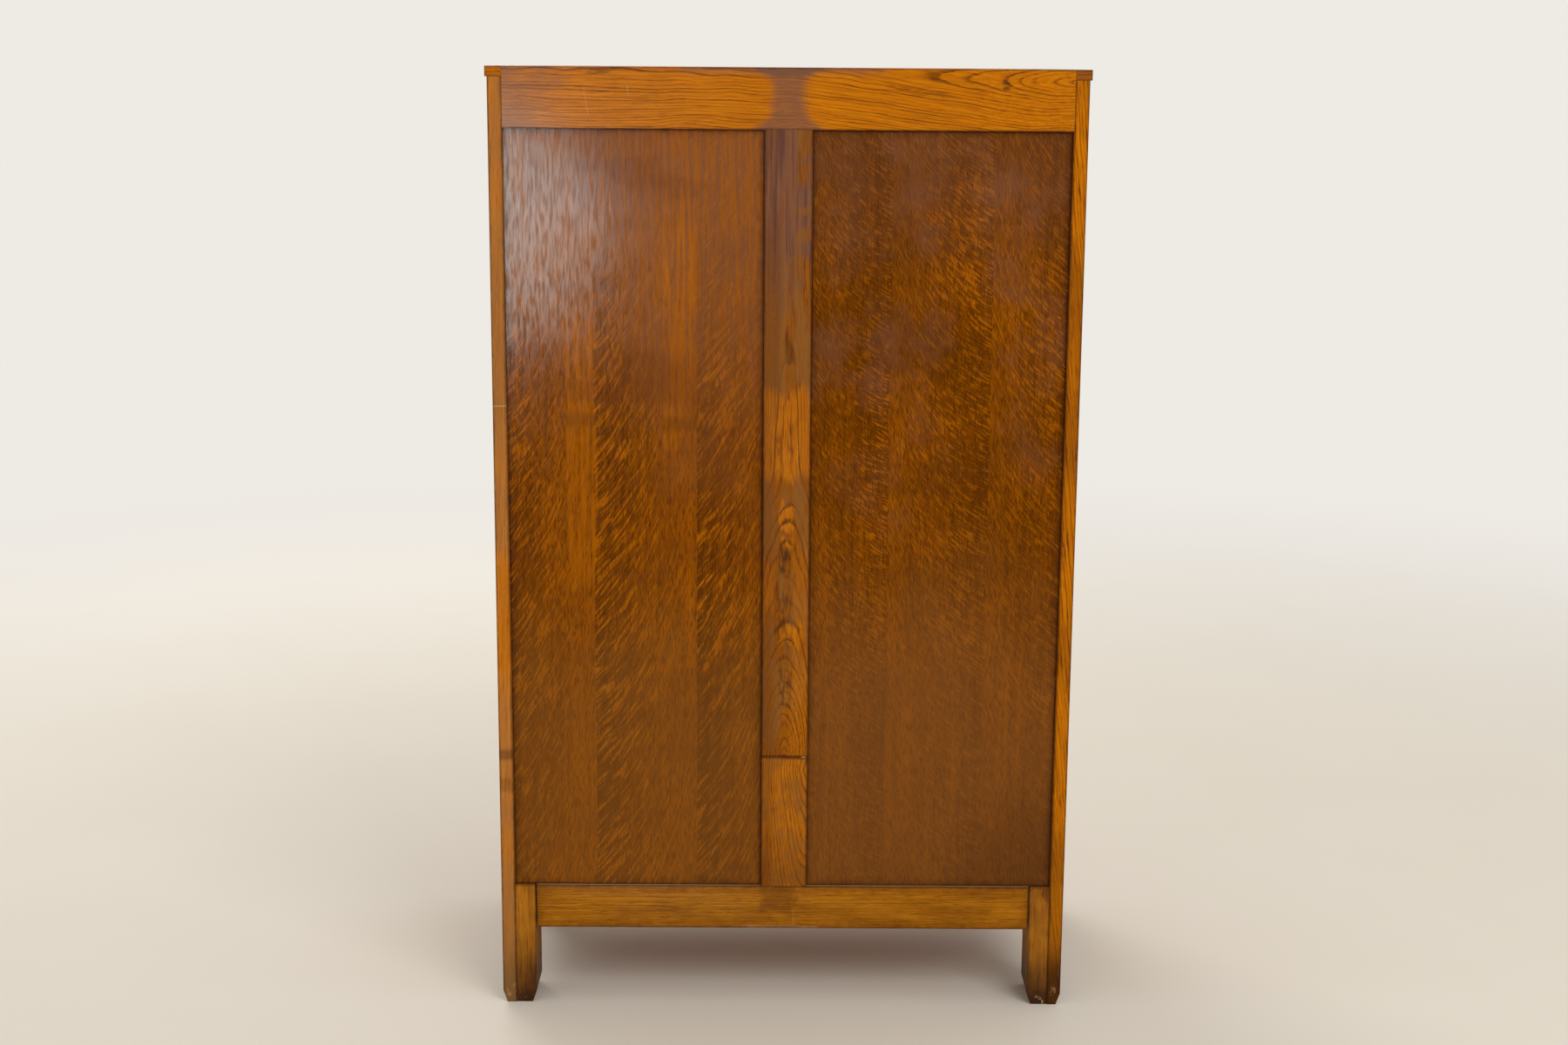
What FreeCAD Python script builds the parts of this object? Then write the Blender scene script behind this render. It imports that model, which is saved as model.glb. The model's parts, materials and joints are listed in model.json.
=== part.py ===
import FreeCAD, Part
import math
import os

import Sketcher

# Oak office cabinet with a roll-up tambour front and a framed and panelled back.
#
# Frame of the model: millimetres, +Z up, the tambour front faces -Y, the panelled back faces +Y,
# and the origin is on the floor, in the middle of the footprint. Left (-X) and right (+X) are as
# seen from the front.

doc = FreeCAD.newDocument("tambour_cabinet")

# Driving dimensions, in millimetres, and a few counts

DIMENSIONS = [
    ("cabinet_width", 800, "over the side frames"),
    ("cabinet_height", 1320, "floor to the face of the top"),
    ("cabinet_depth", 430, "front edge of the top to the back"),
    ("top_thickness", 14, "top board"),
    ("top_side_overhang", 3, "top board past each side frame"),
    ("top_front_overhang", 8, "top board past the front frame"),
    ("side_thickness", 19, "stiles and rails of the side frames"),
    ("stile_width", 75, "stiles of the side frames, along the depth"),
    ("back_frame_thickness", 20, "rails and muntin of the back"),
    ("front_frame_thickness", 20, "lintel and rail of the front"),
    ("back_top_rail_height", 81, "face of the top to the rail's lower edge"),
    ("lintel_height", 80, "front rail over the shutter"),
    ("bottom_rail_height", 63, "bottom rails on all sides"),
    ("floor_clearance", 114, "floor to the bottom rails"),
    ("leg_block_width", 29, "block glued inside each stile as a foot"),
    ("rail_end_gap", 1.5, "open joint between a bottom rail and a leg block"),
    ("foot_chamfer_width", 6, "worn corner of a foot, across"),
    ("foot_chamfer_height", 17, "worn corner of a foot, upwards"),
    ("muntin_width", 64, "upright in the middle of the back"),
    ("muntin_offset", 1.2, "muntin off the middle, towards the left"),
    ("muntin_joint_height", 370, "floor to the butt joint of the muntin's two lengths"),
    ("panel_thickness", 6, "veneered panels, and the grooves and tenons in line with them"),
    ("panel_recess", 6, "panel face behind the face of its frame"),
    ("groove_depth", 8, "panel grooves"),
    ("panel_play", 1, "room for a panel to move in its groove"),
    ("tenon_length", 30, "tenons of the side rails"),
    ("leg_tenon_length", 20, "tenons of the bottom rails in the leg blocks"),
    ("leg_tenon_thickness", 8, "tenons of the bottom rails and the lintel"),
    ("tenon_shoulder", 10, "shoulder above or below a tenon"),
    ("tenon_play", 1, "room past the end of a tenon"),
    ("bottom_board_thickness", 18, "bottom board, the sill of the shutter"),
    ("ceiling_thickness", 12, "inner ceiling under the run of the curtain"),
    ("inner_back_thickness", 6, "plywood in front of the run of the curtain"),
    ("shelf_thickness", 18, "shelves"),
    ("shelf_play", 2, "room round a shelf"),
    ("peg_diameter", 8, "shelf pegs"),
    ("peg_length", 22, "shelf pegs"),
    ("peg_hole_depth", 12, "holes for the pegs"),
    ("peg_inset", 16, "pegs from the inner edge of a stile"),
    ("peg_hole_pitch", 32, "spacing of the holes of one shelf"),
    ("track_thickness", 14, "grooved tracks, across the cabinet"),
    ("track_groove_depth", 9, "groove that holds the slat ends"),
    ("track_wall", 7, "wood on each side of the groove"),
    ("track_cover", 16, "wood over the groove in the top track"),
    ("curtain_play", 0.75, "room on each face of the curtain in its groove"),
    ("bend_radius", 45, "middle of the groove in the bends"),
    ("slat_thickness", 8, "tambour slats"),
    ("slat_crown", 2.5, "rise of a slat's rounded front"),
    ("slat_pitch", 21, "nominal spacing of the slats"),
    ("slat_gap", 0.6, "gap between slats"),
    ("slat_end_play", 1.5, "room between a slat's end and its groove"),
    ("tail_slats", 3, "slats that stay in the bend when the shutter is shut"),
    ("canvas_thickness", 0.8, "canvas that the slats are glued on"),
    ("canvas_margin", 12, "bare slat between the canvas and a track"),
    ("canvas_lap", 12, "canvas held in the rebate of the lead rail"),
    ("lead_rail_height", 50, "bottom rail of the shutter"),
    ("lead_rail_thickness", 20, "bottom rail of the shutter"),
    ("lead_rail_front_play", 1.5, "room between the lead rail and the lintel"),
    ("lead_rail_side_play", 1, "room between the lead rail and a track"),
    ("lead_rail_seat", 0.3, "lead rail over the sill when shut"),
    ("knob_spacing", 500, "between the knobs"),
    ("knob_height", 25, "knobs and key over the lower edge of the lead rail"),
    ("knob_diameter", 22, "head of a knob"),
    ("knob_foot_diameter", 16, "foot of a knob"),
    ("knob_neck_diameter", 9, "neck of a knob"),
    ("knob_projection", 20, "knob in front of the lead rail"),
    ("knob_foot_height", 3, "foot of a knob"),
    ("knob_head_height", 10, "head of a knob"),
    ("lock_width", 46, "lock case"),
    ("lock_height", 34, "lock case"),
    ("lock_thickness", 12, "lock case"),
    ("lock_wall", 2, "sheet of the lock case"),
    ("lock_inset", 3, "wood in front of the lock case"),
    ("forend_length", 66, "plate at the foot of the lock"),
    ("bolt_width", 18, "lock bolt"),
    ("bolt_thickness", 4, "lock bolt"),
    ("bolt_play", 0.3, "room round the bolt in the lock"),
    ("bolt_throw", 8, "travel of the bolt"),
    ("strike_play", 1, "room round the thrown bolt in the strike plate"),
    ("key_stem_diameter", 5, "key"),
    ("key_play", 0.5, "room round the key's stem"),
    ("key_bow_diameter", 18, "ring of the key"),
    ("key_bow_thickness", 2.5, "ring of the key"),
    ("key_bow_width", 4, "ring of the key"),
    ("key_exposed_length", 23, "key in front of the lead rail, ring and all"),
    ("key_bit_length", 8, "key bit from the axis"),
    ("key_bit_width", 2.2, "key bit across"),
    ("escutcheon_width", 18, "keyhole plate"),
    ("escutcheon_height", 38, "keyhole plate"),
    ("plate_thickness", 1, "keyhole plate"),
    ("strike_length", 56, "strike plate"),
    ("strike_width", 16, "strike plate"),
    ("strike_thickness", 2, "strike plate and the forend of the lock"),
    ("strike_depth", 12, "pocket for the thrown bolt, from the face of the sill"),
    ("screw_diameter", 3, "shank of a screw"),
    ("screw_head_diameter", 6, "countersunk head of a screw"),
    ("screw_head_height", 1.6, "countersunk head of a screw"),
    ("screw_length", 14, "screws of the tracks and the strike plate"),
    ("pin_diameter", 1.6, "pins of the keyhole plate"),
    ("pin_length", 3.8, "pins of the keyhole plate"),
    ("block_length", 60, "glue blocks"),
    ("block_side", 20, "glue blocks"),
    ("block_height", 12, "blocks under the top, kept over the run of the curtain"),
    ("block_spacing", 400, "between two glue blocks of a rail"),
]

sheet = doc.addObject("Spreadsheet::Sheet", "dims")
for row, (alias, value, meaning) in enumerate(DIMENSIONS, start=1):
    sheet.set(f"A{row}", meaning)
    sheet.set(f"B{row}", str(value))
    sheet.setAlias(f"B{row}", alias)
doc.recompute()


def value_of(expression):
    """The number that an expression on the sheet stands for."""
    return float(sheet.evalExpression(expression))


# Places that several pieces share, worked out from the driving dimensions

INNER_X = "(dims.cabinet_width / 2 - dims.side_thickness)"
BACK_Y = "(dims.cabinet_depth / 2)"
FRONT_Y = "(dims.top_front_overhang - dims.cabinet_depth / 2)"
BACK_INNER_Y = f"({BACK_Y} - dims.back_frame_thickness)"
FRONT_INNER_Y = f"({FRONT_Y} + dims.front_frame_thickness)"
REAR_STILE_Y = f"({BACK_Y} - dims.stile_width)"
SIDE_RAIL_Y = f"({FRONT_Y} + dims.stile_width)"
SIDE_RAIL_LENGTH = f"({REAR_STILE_Y} - {SIDE_RAIL_Y})"

TOP_UNDER_Z = "(dims.cabinet_height - dims.top_thickness)"
TOP_RAIL_UNDER_Z = "(dims.cabinet_height - dims.back_top_rail_height)"
SIDE_TOP_RAIL_HEIGHT = f"({TOP_UNDER_Z} - {TOP_RAIL_UNDER_Z})"
LINTEL_UNDER_Z = f"({TOP_UNDER_Z} - dims.lintel_height)"
BOTTOM_RAIL_TOP_Z = "(dims.floor_clearance + dims.bottom_rail_height)"
SILL_Z = f"({BOTTOM_RAIL_TOP_Z} + dims.bottom_board_thickness)"

# How far a panel or a stub tenon reaches into a groove
IN_GROOVE = "(dims.groove_depth - dims.panel_play)"
# Faces of the groove for the back panels, from the inner face of the back frame
BACK_GROOVE_Y = "(dims.back_frame_thickness - dims.panel_recess - dims.panel_thickness)"
# Faces of the groove for the side panels, from the inner face of the side frame
SIDE_GROOVE_X = "(dims.side_thickness - dims.panel_recess - dims.panel_thickness)"

CURTAIN = "(dims.slat_thickness + dims.canvas_thickness)"
GROOVE = f"({CURTAIN} + 2 * dims.curtain_play)"
TRACK_WIDTH = f"({GROOVE} + 2 * dims.track_wall)"
RUN_FRONT_Y = f"({FRONT_INNER_Y} + {TRACK_WIDTH} / 2)"
RUN_TOP_Z = f"({TOP_UNDER_Z} - dims.track_cover - {GROOVE} / 2)"
BEND_Z = f"({RUN_TOP_Z} - dims.bend_radius)"
CEILING_UNDER_Z = f"({BEND_Z} - dims.ceiling_thickness)"
INNER_BACK_Y = f"({BACK_INNER_Y} - {TRACK_WIDTH} - dims.inner_back_thickness)"
SHELF_GAP = f"(({CEILING_UNDER_Z} - {SILL_Z} - 2 * dims.shelf_thickness) / 3)"

LEAD_RAIL_Y = f"({FRONT_INNER_Y} + dims.lead_rail_front_play)"
LEAD_RAIL_Z = f"({SILL_Z} + dims.lead_rail_seat)"
LEAD_RAIL_HALF = f"({INNER_X} - dims.track_thickness - dims.lead_rail_side_play)"
SLAT_HALF = f"({INNER_X} - dims.track_thickness + dims.track_groove_depth - dims.slat_end_play)"
SLAT_BACK_Y = f"({RUN_FRONT_Y} - {CURTAIN} / 2 + dims.slat_thickness)"
CANVAS_HALF = f"({INNER_X} - dims.track_thickness - dims.canvas_margin)"
KEY_Z = f"({LEAD_RAIL_Z} + dims.knob_height)"
LOCK_Y = f"({LEAD_RAIL_Y} + dims.lock_inset)"
BOLT_Y = f"({LOCK_Y} + dims.lock_thickness - dims.lock_wall - dims.bolt_play - dims.bolt_thickness)"

# Tops of the tenons in the leg blocks, from the lower edge of the bottom rails
REAR_TENON_TOP = "(dims.bottom_rail_height - dims.groove_depth - dims.tenon_shoulder)"
FRONT_TENON_TOP = "(dims.bottom_rail_height - dims.tenon_shoulder)"

TRACK_HEIGHT = f"({BEND_Z} - {SILL_Z})"
TRACK_SCREW_HEIGHTS = [f"{TRACK_HEIGHT} * {share}" for share in (0.1, 0.5, 0.9)]

# Each side rail: its level, its lower edge, and its tenon's foot and height
SIDE_TENONS = (
    (
        "bottom",
        "dims.floor_clearance",
        "dims.tenon_shoulder",
        "(dims.bottom_rail_height - dims.groove_depth - dims.tenon_shoulder)",
    ),
    (
        "top",
        TOP_RAIL_UNDER_Z,
        "dims.groove_depth",
        f"({SIDE_TOP_RAIL_HEIGHT} - dims.groove_depth - dims.tenon_shoulder)",
    ),
)

STRIKE_Y = f"({BOLT_Y} + dims.bolt_thickness / 2)"
STRIKE_SLOT = (
    "(dims.bolt_width + 2 * dims.strike_play)",
    "(dims.bolt_thickness + 2 * dims.strike_play)",
)
STRIKE_SCREW_X = "((dims.strike_length + dims.bolt_width) / 4 + dims.strike_play / 2)"

KNOB_SCREW = "(dims.lead_rail_thickness + dims.knob_foot_height + 4)"
FOREND_SCREW_X = "((dims.forend_length + dims.lock_width) / 4)"
PIN_OFFSET = "(dims.escutcheon_height / 2 - dims.escutcheon_width / 5)"
PIN_IN_WOOD = "(dims.pin_length - dims.plate_thickness)"

# Both sides of the cabinet: the name and the direction of X away from the middle
SIDES = (("left", -1), ("right", 1))

pieces = []


# Helpers

def place(thing, at):
    """Bind the placement of a body or feature to three expressions."""
    for axis, expression in zip("xyz", at):
        thing.setExpression(f"Placement.Base.{axis}", expression)


def body(name, at=("0", "0", "0")):
    """A new piece, an empty body at a place of the cabinet."""
    piece = doc.addObject("PartDesign::Body", name)
    piece.Label = name
    place(piece, at)
    pieces.append(piece)
    return piece


def box(piece, kind, name, size, at):
    """Add or cut a box. Its size and its lowest corner are expressions, in the piece's own frame."""
    feature = piece.newObject(f"PartDesign::{kind}Box", f"{piece.Name}_{name}")
    for side, expression in zip(("Length", "Width", "Height"), size):
        feature.setExpression(side, expression)
    place(feature, at)
    return feature


def add_box(piece, name, size, at=("0", "0", "0")):
    return box(piece, "Additive", name, size, at)


def cut_box(piece, name, size, at):
    return box(piece, "Subtractive", name, size, at)


def cylinder(piece, kind, name, diameter, length, at, axis):
    """Add or cut a cylinder that runs from a point along an axis of the cabinet."""
    feature = piece.newObject(f"PartDesign::{kind}Cylinder", f"{piece.Name}_{name}")
    feature.setExpression("Radius", f"({diameter}) / 2")
    feature.setExpression("Height", length)
    turn = FreeCAD.Rotation(FreeCAD.Vector(0, 0, 1), FreeCAD.Vector(*axis))
    feature.Placement = FreeCAD.Placement(FreeCAD.Vector(), turn)
    place(feature, at)
    return feature


def add_cylinder(piece, name, diameter, length, at, axis):
    return cylinder(piece, "Additive", name, diameter, length, at, axis)


def cut_cylinder(piece, name, diameter, length, at, axis):
    return cylinder(piece, "Subtractive", name, diameter, length, at, axis)


def outwards(sign, near, far):
    """The lowest X and the length of a stretch between two distances from an inner face."""
    start = near if sign > 0 else f"-({far})"
    return start, f"({far}) - ({near})"


def sketch(piece, name, plane, outline):
    """A closed sketch on a plane of the body.

    Each entry of the outline is the end of a stretch: (u, v) for a straight one, or
    (u, v, radius, centre_u, centre_v) for a round one. All are expressions.
    """
    drawing = piece.newObject("Sketcher::SketchObject", f"{piece.Name}_{name}")
    support = [item for item in piece.Origin.OriginFeatures if item.Role == plane][0]
    drawing.AttachmentSupport = [(support, "")]
    drawing.MapMode = "FlatFace"
    corners = [FreeCAD.Vector(value_of(entry[0]), value_of(entry[1]), 0) for entry in outline]
    # Which points of each stretch are its end and its start. An arc always runs anticlockwise
    ends = []
    for index, entry in enumerate(outline):
        start = corners[index - 1]
        end = corners[index]
        if len(entry) == 2:
            drawing.addGeometry(Part.LineSegment(start, end))
            ends.append((2, 1))
            continue
        centre = FreeCAD.Vector(value_of(entry[3]), value_of(entry[4]), 0)
        clockwise = (start - centre).cross(end - centre).z < 0
        first, last = (end, start) if clockwise else (start, end)
        angles = [math.atan2(point.y - centre.y, point.x - centre.x) for point in (first, last)]
        circle = Part.Circle(centre, FreeCAD.Vector(0, 0, 1), value_of(entry[2]))
        drawing.addGeometry(Part.ArcOfCircle(circle, *angles))
        ends.append((1, 2) if clockwise else (2, 1))
    count = len(outline)
    for index in range(count):
        follower = (index + 1) % count
        drawing.addConstraint(
            Sketcher.Constraint("Coincident", index, ends[index][0], follower, ends[follower][1])
        )
    for index, entry in enumerate(outline):
        for kind, expression in (("DistanceX", entry[0]), ("DistanceY", entry[1])):
            constraint = Sketcher.Constraint(
                kind, -1, 1, index, ends[index][0], value_of(expression)
            )
            number = drawing.addConstraint(constraint)
            drawing.setExpression(f"Constraints[{number}]", expression)
        if len(entry) > 2:
            number = drawing.addConstraint(Sketcher.Constraint("Radius", index, value_of(entry[2])))
            drawing.setExpression(f"Constraints[{number}]", entry[2])
    return drawing


def pad(piece, name, plane, outline, length, backwards=False):
    """Extrude an outline, along the plane's normal or against it."""
    feature = piece.newObject("PartDesign::Pad", f"{piece.Name}_{name}_pad")
    feature.Profile = sketch(piece, name, plane, outline)
    feature.setExpression("Length", length)
    feature.Reversed = backwards
    piece.Tip = feature
    return feature


def pocket(piece, name, plane, outline, depth, backwards=False):
    """Cut an outline out of the piece, and check that it takes wood away."""
    doc.recompute()
    before = piece.Shape.Volume
    feature = piece.newObject("PartDesign::Pocket", f"{piece.Name}_{name}_pocket")
    feature.Profile = sketch(piece, name, plane, outline)
    feature.setExpression("Length", depth)
    feature.Reversed = backwards
    piece.Tip = feature
    doc.recompute()
    if piece.Shape.Volume >= before:
        raise ValueError(f"{feature.Name} cuts nothing")
    return feature


def primitive(kind, name, sizes, at, axis=(0, 0, 1)):
    """A Part primitive with its sizes and place bound to the sheet."""
    solid = doc.addObject(f"Part::{kind}", name)
    for size, expression in sizes.items():
        solid.setExpression(size, expression)
    turn = FreeCAD.Rotation(FreeCAD.Vector(0, 0, 1), FreeCAD.Vector(*axis))
    solid.Placement = FreeCAD.Placement(FreeCAD.Vector(), turn)
    place(solid, at)
    return solid


def group(name, solids):
    """One piece made of several like solids, such as a set of screws."""
    piece = doc.addObject("Part::Compound", name)
    piece.Label = name
    piece.Links = solids
    pieces.append(piece)
    return piece


def screw(name, at, axis, length="dims.screw_length"):
    """A countersunk screw. It is placed by the middle of its head and runs along the axis."""
    head = primitive(
        "Cone",
        f"{name}_head",
        {
            "Radius1": "dims.screw_head_diameter / 2",
            "Radius2": "dims.screw_diameter / 2",
            "Height": "dims.screw_head_height",
        },
        at,
        axis,
    )
    shank = primitive(
        "Cylinder",
        f"{name}_shank",
        {"Radius": "dims.screw_diameter / 2", "Height": length},
        at,
        axis,
    )
    whole = doc.addObject("Part::Fuse", name)
    whole.Base = head
    whole.Tool = shank
    return whole


def cut_screw_hole(piece, name, at, axis, length="dims.screw_length", countersunk=False):
    """The hole of a screw, placed as the screw is, in the piece's own frame."""
    cut_cylinder(piece, name, "dims.screw_diameter", length, at, axis)
    if countersunk:
        sink = piece.newObject("PartDesign::SubtractiveCone", f"{piece.Name}_{name}_sink")
        sink.setExpression("Radius1", "dims.screw_head_diameter / 2")
        sink.setExpression("Radius2", "dims.screw_diameter / 2")
        sink.setExpression("Height", "dims.screw_head_height")
        turn = FreeCAD.Rotation(FreeCAD.Vector(0, 0, 1), FreeCAD.Vector(*axis))
        sink.Placement = FreeCAD.Placement(FreeCAD.Vector(), turn)
        place(sink, at)


# Top board

def make_top_board():
    piece = body("top_board", ("0", "0", TOP_UNDER_Z))
    half = "(dims.cabinet_width / 2 + dims.top_side_overhang)"
    add_box(
        piece,
        "board",
        (f"2 * {half}", "dims.cabinet_depth", "dims.top_thickness"),
        (f"-{half}", f"-{BACK_Y}", "0"),
    )
    cut_box(
        piece,
        "rail_notch",
        (f"2 * {INNER_X}", "dims.back_frame_thickness", "dims.top_thickness"),
        (f"-{INNER_X}", BACK_INNER_Y, "0"),
    )


# Back frame and its panels

def make_back_top_rail():
    piece = body("back_top_rail", ("0", BACK_INNER_Y, TOP_RAIL_UNDER_Z))
    size = (f"2 * {INNER_X}", "dims.back_frame_thickness", "dims.back_top_rail_height")
    add_box(piece, "rail", size, (f"-{INNER_X}", "0", "0"))
    cut_box(
        piece,
        "groove",
        (f"2 * {INNER_X}", "dims.panel_thickness", "dims.groove_depth"),
        (f"-{INNER_X}", BACK_GROOVE_Y, "0"),
    )
    height = f"{SIDE_TOP_RAIL_HEIGHT} - dims.groove_depth - dims.tenon_shoulder"
    for side, sign in SIDES:
        start, length = outwards(sign, INNER_X, f"{INNER_X} + {IN_GROOVE}")
        size = (length, "dims.panel_thickness", height)
        add_box(piece, f"tenon_{side}", size, (start, BACK_GROOVE_Y, "dims.groove_depth"))


def make_bottom_rail(name, inner_y, thickness, tenon_top):
    """A bottom rail between two leg blocks, with a tenon in each."""
    piece = body(name, ("0", inner_y, "dims.floor_clearance"))
    half = f"({INNER_X} - dims.leg_block_width - dims.rail_end_gap)"
    add_box(
        piece,
        "rail",
        (f"2 * {half}", thickness, "dims.bottom_rail_height"),
        (f"-{half}", "0", "0"),
    )
    reach = f"{half} + dims.rail_end_gap + dims.leg_tenon_length"
    for side, sign in SIDES:
        start, length = outwards(sign, half, reach)
        add_box(
            piece,
            f"tenon_{side}",
            (length, "dims.leg_tenon_thickness", f"{tenon_top} - dims.tenon_shoulder"),
            (start, f"({thickness} - dims.leg_tenon_thickness) / 2", "dims.tenon_shoulder"),
        )
    return piece, half


def make_back_bottom_rail():
    piece, half = make_bottom_rail(
        "back_bottom_rail", BACK_INNER_Y, "dims.back_frame_thickness", REAR_TENON_TOP
    )
    cut_box(
        piece,
        "groove",
        (f"2 * {half}", "dims.panel_thickness", "dims.groove_depth"),
        (f"-{half}", BACK_GROOVE_Y, "dims.bottom_rail_height - dims.groove_depth"),
    )


def make_muntin():
    """The muntin in two lengths, with a groove down each edge and a stub tenon at its outer end."""
    stub_width = "dims.muntin_width - 2 * dims.groove_depth"
    lengths = (
        ("back_muntin_upper", "dims.muntin_joint_height", TOP_RAIL_UNDER_Z, True),
        ("back_muntin_lower", BOTTOM_RAIL_TOP_Z, "dims.muntin_joint_height", False),
    )
    for name, low, high, stub_on_top in lengths:
        height = f"({high} - {low})"
        left = "-dims.muntin_offset - dims.muntin_width / 2"
        piece = body(name, (left, BACK_INNER_Y, low))
        add_box(piece, "upright", ("dims.muntin_width", "dims.back_frame_thickness", height))
        for edge, start in (
            ("left", "0"),
            ("right", "dims.muntin_width - dims.groove_depth"),
        ):
            size = ("dims.groove_depth", "dims.panel_thickness", height)
            cut_box(piece, f"groove_{edge}", size, (start, BACK_GROOVE_Y, "0"))
        add_box(
            piece,
            "stub",
            (stub_width, "dims.panel_thickness", IN_GROOVE),
            ("dims.groove_depth", BACK_GROOVE_Y, height if stub_on_top else f"-{IN_GROOVE}"),
        )


def make_back_panels():
    outer = f"({INNER_X} + {IN_GROOVE})"
    inner = f"(dims.muntin_width / 2 - {IN_GROOVE})"
    low = f"({BOTTOM_RAIL_TOP_Z} - {IN_GROOVE})"
    height = f"{TOP_RAIL_UNDER_Z} + {IN_GROOVE} - {low}"
    stretches = (
        ("left", f"-{outer}", f"-dims.muntin_offset - {inner}"),
        ("right", f"{inner} - dims.muntin_offset", outer),
    )
    for side, start, end in stretches:
        piece = body(f"back_panel_{side}", (start, f"{BACK_INNER_Y} + {BACK_GROOVE_Y}", low))
        add_box(piece, "panel", (f"({end}) - ({start})", "dims.panel_thickness", height))


# Side frames

def shelf_under(index):
    """Underside of a shelf: 1 is the lower one, 2 the upper one."""
    return f"({SILL_Z} + {index} * {SHELF_GAP} + {index - 1} * dims.shelf_thickness)"


def cut_peg_holes(piece, sign, y):
    """Three holes for each shelf in the inner face of a stile, the middle one in use."""
    for shelf in (1, 2):
        for step in (-1, 0, 1):
            height = f"{shelf_under(shelf)} - dims.peg_diameter / 2 + {step} * dims.peg_hole_pitch"
            name = f"peg_hole_{shelf}_{step + 2}"
            at = ("0", y, height)
            cut_cylinder(piece, name, "dims.peg_diameter", "dims.peg_hole_depth", at, (sign, 0, 0))


def cut_track_screw_holes(piece, sign, y):
    """Holes for the screws of a track, in the inner face of the stile behind it."""
    for number, height in enumerate(TRACK_SCREW_HEIGHTS, start=1):
        at = ("0", y, f"{SILL_Z} + {height}")
        depth = "dims.screw_length - dims.track_thickness + dims.track_groove_depth"
        cut_screw_hole(piece, f"screw_{number}", at, (sign, 0, 0), depth)


def make_stile(end, side, sign):
    """A stile of a side frame. It runs to the floor as the outer layer of the leg."""
    rear = end == "rear"
    y = REAR_STILE_Y if rear else FRONT_Y
    piece = body(f"side_{end}_stile_{side}", (f"{sign} * {INNER_X}", y, "0"))
    flat = "(dims.side_thickness - dims.foot_chamfer_width)"
    outline = [
        ("0", "0"),
        (f"{sign} * {flat}", "0"),
        (f"{sign} * dims.side_thickness", "dims.foot_chamfer_height"),
        (f"{sign} * dims.side_thickness", TOP_UNDER_Z),
        ("0", TOP_UNDER_Z),
    ]
    pad(piece, "profile", "XZ_Plane", outline, "dims.stile_width", backwards=True)
    start, length = outwards(sign, SIDE_GROOVE_X, f"{SIDE_GROOVE_X} + dims.panel_thickness")
    low = "(dims.floor_clearance + dims.tenon_shoulder)"
    high = f"({TOP_UNDER_Z} - dims.tenon_shoulder)"
    groove_y = "0" if rear else "dims.stile_width - dims.groove_depth"
    size = (length, "dims.groove_depth", f"{high} - {low}")
    cut_box(piece, "panel_groove", size, (start, groove_y, low))
    depth = "(dims.tenon_length + dims.tenon_play)"
    mortise_y = "0" if rear else f"dims.stile_width - {depth}"
    for level, rail_z, tenon_z, tenon_height in SIDE_TENONS:
        size = (length, depth, tenon_height)
        cut_box(piece, f"{level}_mortise", size, (start, mortise_y, f"{rail_z} + {tenon_z}"))
    if rear:
        make_back_grooves_of_stile(piece, sign)
        cut_peg_holes(piece, sign, "dims.peg_inset")
        cut_track_screw_holes(piece, sign, f"{BACK_INNER_Y} - {TRACK_WIDTH} / 2 - {REAR_STILE_Y}")
    else:
        make_lintel_mortise_of_stile(piece, sign)
        cut_peg_holes(piece, sign, "dims.stile_width - dims.peg_inset")
        cut_track_screw_holes(piece, sign, f"{RUN_FRONT_Y} - {FRONT_Y}")


def make_back_grooves_of_stile(piece, sign):
    """The groove for the edge of a back panel and the stub tenon of the back top rail."""
    start, length = outwards(sign, "0", "dims.groove_depth")
    low = f"({BOTTOM_RAIL_TOP_Z} - dims.groove_depth)"
    height = f"{TOP_UNDER_Z} - dims.tenon_shoulder - {low}"
    y = "dims.stile_width - dims.panel_recess - dims.panel_thickness"
    cut_box(piece, "back_groove", (length, "dims.panel_thickness", height), (start, y, low))


def make_lintel_mortise_of_stile(piece, sign):
    start, length = outwards(sign, "0", "dims.groove_depth")
    height = "dims.lintel_height - 2 * dims.tenon_shoulder"
    y = "(dims.front_frame_thickness - dims.leg_tenon_thickness) / 2"
    at = (start, y, f"{LINTEL_UNDER_Z} + dims.tenon_shoulder")
    cut_box(piece, "lintel_mortise", (length, "dims.leg_tenon_thickness", height), at)


def make_side_rails(side, sign):
    heights = {"bottom": "dims.bottom_rail_height", "top": SIDE_TOP_RAIL_HEIGHT}
    for level, rail_z, tenon_z, tenon_height in SIDE_TENONS:
        piece = body(f"side_{level}_rail_{side}", (f"{sign} * {INNER_X}", SIDE_RAIL_Y, rail_z))
        start, length = outwards(sign, "0", "dims.side_thickness")
        height = heights[level]
        add_box(piece, "rail", (length, SIDE_RAIL_LENGTH, height), (start, "0", "0"))
        start, length = outwards(sign, SIDE_GROOVE_X, f"{SIDE_GROOVE_X} + dims.panel_thickness")
        groove_z = "0" if level == "top" else f"{height} - dims.groove_depth"
        size = (length, SIDE_RAIL_LENGTH, "dims.groove_depth")
        cut_box(piece, "groove", size, (start, "0", groove_z))
        for end, y in (("front", "-dims.tenon_length"), ("rear", SIDE_RAIL_LENGTH)):
            size = (length, "dims.tenon_length", tenon_height)
            add_box(piece, f"tenon_{end}", size, (start, y, tenon_z))


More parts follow.
